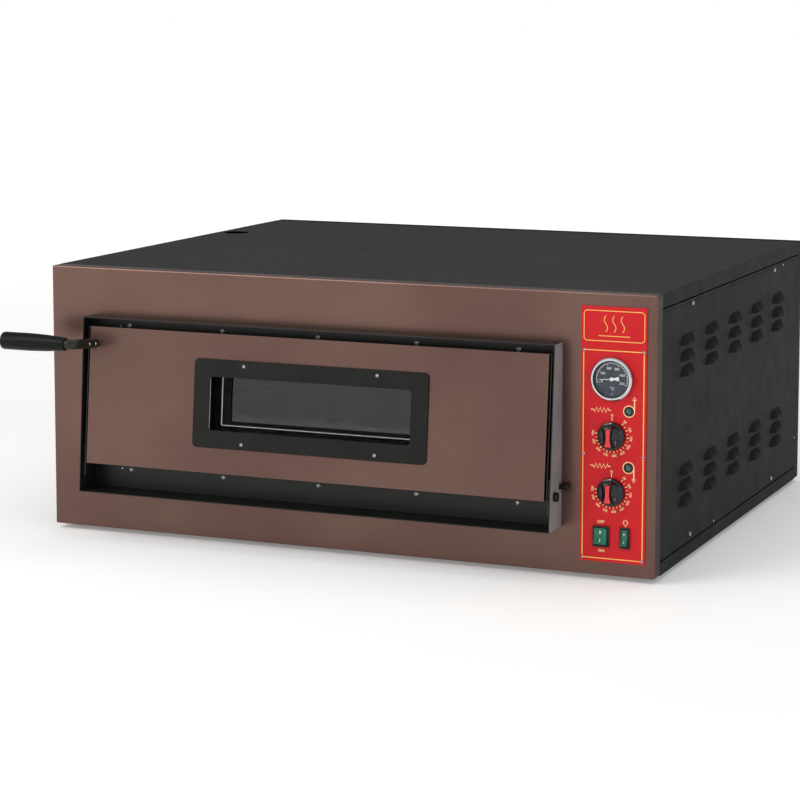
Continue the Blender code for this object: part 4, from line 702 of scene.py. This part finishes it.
def strokes(lines, centre, turn=Matrix.Identity(4)):
    # each line is (width in mm, closed, points in mm across and up)
    made = []
    for width, closed, points in lines:
        curve = bpy.data.curves.new("stroke", "CURVE")
        curve.dimensions = "3D"
        curve.bevel_depth = width / 2
        curve.bevel_resolution = 1
        curve.use_fill_caps = True
        spline = curve.splines.new("POLY")
        spline.points.add(len(points) - 1)
        for point, (x, z) in zip(spline.points, points):
            point.co = (x, 0, z, 1)
        spline.use_cyclic_u = closed
        mesh = meshOf(newObject("stroke", curve))
        flat = Matrix.Diagonal((mm, 2 * inkDepth / width * mm, mm, 1))
        mesh.transform(Matrix.Translation(centre) @ turn @ flat)
        made.append(mesh)
    return joined(made)


def words(labels, centre, turn=Matrix.Identity(4)):
    # each label is (text, across, up, letter height in mm, turn in degrees)
    made = []
    for text, x, z, height, angle in labels:
        curve = bpy.data.curves.new("label", "FONT")
        curve.body = text
        curve.size = height * 1.4
        curve.align_x = "CENTER"
        curve.align_y = "CENTER"
        curve.resolution_u = 3
        curve.extrude = inkDepth
        curve.offset = height * 0.012
        mesh = meshOf(newObject("label", curve))
        spun = Matrix.Translation((x * mm, 0, z * mm)) @ Matrix.Rotation(-math.radians(angle), 4, "Y")
        mesh.transform(Matrix.Translation(centre) @ turn @ spun @ Matrix.Rotation(math.pi / 2, 4, "X")
                       @ Matrix.Scale(mm, 4))
        made.append(mesh)
    return joined(made)


def onCircle(radius, degrees, x=0.0, z=0.0):
    return x + radius * math.cos(math.radians(degrees)), z + radius * math.sin(math.radians(degrees))


def arc(radius, start, end, steps, x=0.0, z=0.0):
    return [onCircle(radius, start + (end - start) * i / steps, x, z) for i in range(steps + 1)]


def roundedBox(left, bottom, right, top, corner):
    points = []
    for x, z, start in ((right - corner, top - corner, 0), (left + corner, top - corner, 90),
                        (left + corner, bottom + corner, 180), (right - corner, bottom + corner, 270)):
        points += arc(corner, start, start + 90, 5, x, z)
    return points


# The window's opening through the door, in mm on the door's own axes
windowTunnel = {"halfWidth": 169.0, "low": 60.25, "high": 143.75, "wall": 1.2, "paneBack": 3.5, "paneGap": 0.2}
# The rear pane's seal, and bright zinc strips that are painted highlights: one beside and under the seal, one down
# the opening's left edge
windowSealAndHighlights = {"sideLine": 2.0, "lowLine": 1.2, "edgeLine": 0.9, "edgeStep": 0.3, "edgeShort": 3.0,
              "edgeBack": 1.6, "sideX": -158.0, "lowZ": 67.6, "sealX": -143.0, "sealZ": 74.6, "sealDepth": 3.0}


def onDoorBoxes(boxes):
    mesh = boxMesh([(Vector(low) * mm, Vector(high) * mm) for low, high in boxes])
    mesh.transform(doorTurn)
    return mesh


def addWindowTunnel():
    t = windowTunnel
    mouth = doorBox("window_frame")[1].y - 0.2
    rear = doorBox("window_glass_inner")[0].y - 0.1
    x, low, high, wall, gap = t["halfWidth"], t["low"], t["high"], t["wall"], t["paneGap"]
    walls = [((-x - wall, mouth, low - wall), (-x, rear, high + wall)),
             ((x, mouth, low - wall), (x + wall, rear, high + wall)),
             ((-x, mouth, low - wall), (x, rear, low)),
             ((-x, mouth, high), (x, rear, high + wall))]
    addPiece("window_tunnel", onDoorBoxes(walls), "sootedSteel", "door")
    pane = [((-x + gap, mouth, low + gap), (x - gap, mouth + t["paneBack"], high - gap))]
    addPiece("window_pane", onDoorBoxes(pane), "clearOvenPane", "door", ("window_glass_outer",))


def addWindowSealAndHighlights():
    t, opening = windowSealAndHighlights, windowTunnel
    x, low, high = opening["halfWidth"] - 0.1, opening["low"] + 0.1, opening["high"] - 0.1
    rear = doorBox("window_glass_inner")[0].y - 0.2
    face = rear - t["sealDepth"]
    seal = [((-x, face, low), (t["sealX"], rear, high)), ((t["sealX"], face, low), (x, rear, t["sealZ"]))]
    addPiece("window_seal", onDoorBoxes(seal), "sootedSteel", "door")
    # the strips stand in for the bright edge lines of the window: painted highlights
    strips = [(t["sideLine"], False, [(t["sideX"], t["lowZ"]), (t["sideX"], high - 0.5)]),
              (t["lowLine"], False, [(t["sideX"], t["lowZ"]), (x - 0.5, t["lowZ"])])]
    edgeX = t["edgeStep"] - x
    edge = [(t["edgeLine"], False, [(edgeX, low + t["edgeShort"]), (edgeX, high - t["edgeShort"])])]
    made = joined([strokes(lines, (0, 0, 0), doorTurn @ Matrix.Translation((0, y * mm, 0)))
                   for lines, y in ((strips, face - 0.1), (edge, doorBox("window_frame")[0].y + t["edgeBack"]))])
    addPiece("window_highlight_strips", made, "zincPlate", "door", edges="print")


addWindowTunnel()
addWindowSealAndHighlights()

# Everything printed on the red fascia, in mm on the front panel's own x and z
fasciaPrint = {
    "left": 393.6, "right": 486.2, "bottom": 26.0, "top": 336.0, "gap": 3.2,  # the border stops short of its screws
    "borderLine": 1.6, "symbolLine": 1.5, "badgeLine": 1.4, "waveLine": 1.3, "fineLine": 1.0, "ringLine": 0.8,
    "badge": (393.8, 350.0, 486.6, 394.5), "badgeCorner": 5.0, "waves": (-13, 0, 13), "waveSwing": 2.6,
    "waveLow": 363.5, "waveRise": 2.0, "deck": (24, 357.5),
    "lampX": 464.0, "knobs": (210.1, 126.6), "lamps": (247.9, 164.4), "letter": 4.4, "number": 3.6,
    "zigEnds": (405.5, 410.2, 433.0, 436.5), "zigStart": 411.3, "zigStep": 2.9, "zigHeight": 3.6,
    "loop": 8.3, "arrow": (2.6, 17, 21.5), "zeroLine": (22.0, 28.0), "zeroRing": (1.5, 30.5),
    "scaleStart": 48, "scaleStep": -26, "scaleMarks": 10, "tickRadius": 22.6, "major": (3.8, 1.1),
    "minor": (2.6, 0.9), "numberRadius": 29.3,
    "bulb": (460.4, 82.0), "bulbRadius": 3.2, "rays": (4.2, 5.2),
}


def printFascia():
    p = fasciaPrint
    gap = p["gap"]
    sides = [[(x, p["bottom"] + gap), (x, p["top"] - gap)] for x in (p["left"], p["right"])]
    sides += [[(p["left"] + gap, z), (p["right"] - gap, z)] for z in (p["bottom"], p["top"])]
    border = [(p["borderLine"], False, side) for side in sides]
    border.append((p["badgeLine"], True, roundedBox(*p["badge"], p["badgeCorner"])))
    # a plain heat sign in the badge: three rising waves over a deck line
    middle = (p["badge"][0] + p["badge"][2]) / 2
    for step in p["waves"]:
        border.append((p["waveLine"], False, [(middle + step + p["waveSwing"] * math.sin(i / 12 * math.tau),
                                               p["waveLow"] + i * p["waveRise"]) for i in range(13)]))
    halfDeck, deckZ = p["deck"]
    border.append((p["waveLine"], False, [(middle - halfDeck, deckZ), (middle + halfDeck, deckZ)]))
    place = at(0, frontFace, 0)
    addPiece("fascia_borders", strokes(border, place), "yellowBorderInk", "casing", edges="print")

    symbols, marks = [], []
    labels = [("OFF", 422.5, 80.6, p["letter"], 0), ("ON", 423.5, 37.4, p["letter"], 0)]
    line, fine = p["symbolLine"], p["fineLine"]
    for knobZ, lampZ, way in zip(p["knobs"], p["lamps"], (1, -1)):
        ends = [(x, lampZ) for x in p["zigEnds"]]
        zig = [(p["zigStart"] + i * p["zigStep"], lampZ + (p["zigHeight"] if i % 2 else -p["zigHeight"]))
               for i in range(8)]
        symbols.append((line, False, ends[:2] + zig + ends[2:]))
        symbols.append((line, True, arc(p["loop"], 0, 352, 40, p["lampX"], lampZ)))
        tail = p["lampX"] + p["loop"]
        half, neckZ, tip = p["arrow"]
        symbols.append((line, False, [(tail, lampZ), (tail, lampZ + way * neckZ)]))
        symbols.append((line, True, [(tail - half, lampZ + way * neckZ), (tail + half, lampZ + way * neckZ),
                                     (tail, lampZ + way * tip)]))
        symbols.append((fine, False, [(controlX, knobZ + up) for up in p["zeroLine"]]))
        ring, ringUp = p["zeroRing"]
        symbols.append((p["ringLine"], True, arc(ring, 0, 330, 10, controlX, knobZ + ringUp)))
        centre = at(controlX, frontFace, knobZ)
        start, step, count = p["scaleStart"], p["scaleStep"], p["scaleMarks"]
        for number, first, size in ((count, start, p["major"]), (count - 1, start + step / 2, p["minor"])):
            marks.append(ticks(centre, number, first, step, p["tickRadius"], *size, "yellowScreenInk"))
        for i in range(count):
            angle = start + step * i
            labels.append((str(50 + 50 * i), *onCircle(p["numberRadius"], angle, controlX, knobZ), p["number"],
                           angle - 90))
    x, z = p["bulb"]
    symbols.append((0.9, False, arc(p["bulbRadius"], -60, 240, 20, x, z)))
    for half, drop in ((1.4, 4.0), (1.0, 5.5)):
        symbols.append((fine, False, [(x - half, z - drop), (x + half, z - drop)]))
    for angle in (0, 45, 90, 135, 180):
        symbols.append((0.4, False, [onCircle(r, angle, x, z) for r in p["rays"]]))
    made = joined([strokes(symbols, place), words(labels, place), *marks])
    addPiece("fascia_symbols", made, "yellowScreenInk", "casing", edges="print")


printFascia()
print("fascia printed")

# Dial print: an arc with ticks, numbers and the unit. Sizes in mm, angles in degrees.
dial = {"z": 294.7, "plate": -3.5, "start": 195.0, "end": -22.0, "ring": 23.8, "line": 0.8,
        "numbers": 6, "number": 3.6, "numberRadius": 16.4, "unit": 4.2, "unitZ": -14.5, "dotZ": -22.5,
        "major": (6, 3.2, 0.9), "minor": (26, 1.8, 0.5), "limitAngle": 58.8, "limit": (3.4, 1.0)}


def printDial():
    centre = at(controlX, dial["plate"], dial["z"])
    sweep = dial["end"] - dial["start"]
    lines = [(dial["line"], False, arc(dial["ring"], dial["start"], dial["end"], 60)),
             (dial["line"], True, arc(0.5, 0, 300, 6, 0, dial["dotZ"]))]
    labels = [(str(100 * i), *onCircle(dial["numberRadius"], dial["start"] + sweep * i / (dial["numbers"] - 1)),
               dial["number"], 0) for i in range(dial["numbers"])]
    labels.append(("°C", 0, dial["unitZ"], dial["unit"], 0))
    marks = [ticks(centre, count, dial["start"], sweep / (count - 1), dial["ring"] - length, length, width,
                   "whiteDialInk") for count, length, width in (dial["major"], dial["minor"])]
    made = joined([strokes(lines, centre), words(labels, centre), *marks])
    addPiece("dial_print", made, "whiteDialInk", "casing", edges="print")
    length, width = dial["limit"]
    limit = ticks(centre, 1, dial["limitAngle"], 1, dial["ring"] - length, length, width, "redKnobInlay")
    addPiece("dial_limit_mark", limit, "redKnobInlay", "casing", edges="print")


printDial()
print("dial printed")

# Knobs: a turned skirt and drum with two thumb scoops, a red inlay and a white pointer. Sizes in mm.
knob = {"radius": 21.0, "skirt": 7.0, "drum": 16.8, "top": 19.2, "waist": 3.3, "base": 2.4, "round": 0.45,
        "scoop": (13.0, 12.0, 21.0),
        # half widths of the inlay at heights up the ridge
        "inlay": [(3.2, 12.6), (2.9, 8), (2.7, 2), (2.9, -4), (3.8, -9), (4.9, -12.2), (3.8, -13.4)]}


def addKnob(body, z):
    centre = at(controlX, -knob["base"], z)
    r, skirt, drum, top = (knob[size] for size in ("radius", "skirt", "drum", "top"))
    profile = [(0, 0), (r - 0.6, 0), (r, 0.6), (r, skirt - 2.6), (r - 0.6, skirt - 1.2), (r - 1.6, skirt - 0.5),
               (drum + 0.8, skirt), (drum, skirt + 0.6), (drum - 0.6, top - 1.8), (drum - 1.2, top - 0.7),
               (drum - 2.4, top), (0, top)]
    scoops = []
    for sign in (-1, 1):
        bm = bmesh.new()
        bmesh.ops.create_uvsphere(bm, u_segments=40, v_segments=24, radius=1.0)
        move = Matrix.Translation(centre + Vector((sign * (knob["waist"] + knob["scoop"][0]), -top - 0.3, 0)) * mm)
        size = Matrix.Diagonal([s * mm for s in knob["scoop"]] + [1])
        bmesh.ops.transform(bm, verts=bm.verts, matrix=move @ size)
        scoops.append(newObject("scoop", meshFrom(bm, "scoop")))
    mesh = cutAway(newObject("knob", lathe(profile, centre, 64)), scoops, knob["round"], 42)
    addPiece(body + "_moulding", mesh, "knobPhenolic", body, (body,), edges="flat")

    points = knob["inlay"] + [(-x, up) for x, up in reversed(knob["inlay"])]
    bm = bmesh.new()
    face = bm.faces.new([bm.verts.new(centre + Vector((x, -top + 0.1, up)) * mm) for x, up in points])
    grown = bmesh.ops.extrude_face_region(bm, geom=[face])["geom"]
    bmesh.ops.translate(bm, verts=[g for g in grown if isinstance(g, bmesh.types.BMVert)], vec=(0, -0.5 * mm, 0))
    bmesh.ops.recalc_face_normals(bm, faces=bm.faces)
    addPiece(body + "_inlay", meshFrom(bm, "inlay"), "redKnobInlay", body)
    mark = [(1.6, False, [(-1.2, r - 1.4), (1.2, r - 1.4)]), (1.2, False, [(-0.5, r - 2.8), (0.5, r - 2.8)])]
    made = strokes(mark, centre + Vector((0, 0.4 - skirt, 0)) * mm)
    addPiece(body + "_pointer", made, "whiteDialInk", body, edges="print")


addKnob("upper_knob", fasciaPrint["knobs"][0])
addKnob("lower_knob", fasciaPrint["knobs"][1])
print("knobs made")

# Lamps: a black ring round a domed green lens. Sizes in mm.
lamp = {"lens": 4.7, "ring": 6.8, "ringHeight": 2.2, "dome": 2.6, "domeBase": 1.2, "depth": 21.0, "play": 0.1}
for name, z in zip(("upper_lamp", "lower_lamp"), fasciaPrint["lamps"]):
    centre = at(fasciaPrint["lampX"], frontFace, z)
    lens, ring, hole = lamp["lens"], lamp["ring"], lamp["lens"] + lamp["play"]
    ringProfile = [(hole, 0.0), (ring, 0.0), (ring, 1.4), (ring - 0.5, 2.0), (ring - 1.2, lamp["ringHeight"]),
                   (hole, lamp["ringHeight"] - 0.2), (hole, 0.0)]
    addPiece(name + "_ring", lathe(ringProfile, centre), "blackNylon", "casing", (name,))
    dome = [(lens * math.cos(math.radians(a)), lamp["domeBase"] + lamp["dome"] * math.sin(math.radians(a)))
            for a in range(0, 91, 10)]
    lensProfile = [(0, -lamp["depth"]), (lens, -lamp["depth"]), *dome[:-1], (0, dome[-1][1])]
    addPiece(name + "_lens", lathe(lensProfile, centre), "greenLampLens", "casing")

# Rocker marks, on each rocker's own sloping halves. Letter heights and places in mm.
rocker = {"tilt": 9, "inset": 2.3, "off": 6.0, "on": -5.5, "letters": {"main_rocker": 4.8, "light_rocker": 3.4}}
for name, size in rocker["letters"].items():
    low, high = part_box(name)
    middle = (low + high) / 2
    face = Vector((middle.x, low.y + rocker["inset"] * mm, middle.z))
    made = words([("0", 0, rocker["off"], size, 0), ("I", 0, rocker["on"], size, 0)], face,
                 Matrix.Rotation(-math.radians(rocker["tilt"]), 4, "X"))
    addPiece(name + "_marks", made, "whiteDialInk", name, edges="print")
print("lamps and rockers made")

# Floor, light and camera. The paper glows more the further it is, as a lit backdrop does, so its end doesn't show.
paper = {"half": 30, "tones": ("F3F2F0", "F8F8F6"), "glow": (0.2, 0.62), "glowFrom": (1.2, 5.0)}
half = paper["half"]
backdrop = bpy.data.meshes.new("floor")
backdrop.from_pydata([(-half, -half, 0), (half, -half, 0), (half, half, 0), (-half, half, 0)], [], [(0, 1, 2, 3)])
floor = newObject("floor", backdrop)
paperMaterial, tree, shader = newMaterial("palePaper")
place = addNode(tree, "ShaderNodeTexCoord").outputs["Object"]
drift = addNode(tree, "ShaderNodeTexNoise", {"Vector": place, "Scale": 2.0, "Detail": 4.0})
tone = addNode(tree, "ShaderNodeValToRGB", {"Fac": drift})
for element, code in zip(tone.color_ramp.elements, paper["tones"]):
    element.color = linearColour(code)
farness = addNode(tree, "ShaderNodeVectorMath", (place,), operation="LENGTH").outputs["Value"]
glow = addNode(tree, "ShaderNodeMapRange", {
    "Value": farness, "From Min": paper["glowFrom"][0], "From Max": paper["glowFrom"][1],
    "To Min": paper["glow"][0], "To Max": paper["glow"][1]})
setInputs(shader, {"Roughness": 0.8, "Base Color": tone, "Emission Color": linearColour("FFFFFF"),
                   "Emission Strength": glow})
backdrop.materials.append(paperMaterial)

world = bpy.data.worlds.new("studio")
scene.world = world
world.use_nodes = True
sky = world.node_tree
skyParts = addNode(sky, "ShaderNodeSeparateXYZ", (addNode(sky, "ShaderNodeTexCoord").outputs["Generated"],))
# the room is bright in front of the oven and dim behind it; the backdrop itself is white
roomLight = addNode(sky, "ShaderNodeMapRange", {
    "Value": skyParts.outputs["Y"], "From Min": -1.0, "From Max": 0.9, "To Min": 0.85, "To Max": 0.2})
seen = addNode(sky, "ShaderNodeLightPath").outputs["Is Camera Ray"]
strength = addNode(sky, "ShaderNodeMix", {0: seen, 2: roomLight, 3: 1.0}, data_type="FLOAT")
setInputs(sky.nodes["Background"], {"Color": linearColour("FFFFFF"), "Strength": strength})

lights = {
    "keySoftbox": dict(place=(-1.8, -2.8, 2.8), size=2.2, power=50),
    "rightStrip": dict(place=(2.6, -1.9, 1.0), size=1.0, power=8),
    "leftStrip": dict(place=(-2.6, -1.7, 1.0), size=1.0, power=9),
    "topSoftbox": dict(place=(0.2, 0.6, 3.2), size=2.6, power=24),
}
target = (cadBox[0] + cadBox[1]) / 2
for name, spec in lights.items():
    light = bpy.data.lights.new(name, "AREA")
    light.size = spec["size"]
    light.energy = spec["power"]
    thing = newObject(name, light)
    thing.location = spec["place"]
    thing.rotation_euler = (target - Vector(spec["place"])).to_track_quat("-Z", "Y").to_euler()

cameraPlace = {"place": (1581.8, -3496.8, 876.6), "turn": 23.078, "down": 6.791, "lens": 114.1,
               "shift": (0.0062, -0.15)}
camera = bpy.data.cameras.new("camera")
camera.lens = cameraPlace["lens"]
camera.sensor_width = 36.0
camera.shift_x, camera.shift_y = cameraPlace["shift"]  # the uprights stay nearly upright
cameraThing = newObject("camera", camera)
cameraThing.location = at(*cameraPlace["place"])
cameraThing.rotation_euler = (math.radians(90 - cameraPlace["down"]), 0, math.radians(cameraPlace["turn"]))
scene.camera = cameraThing
scene.view_settings.view_transform = "Standard"
print("floor, light and camera set")
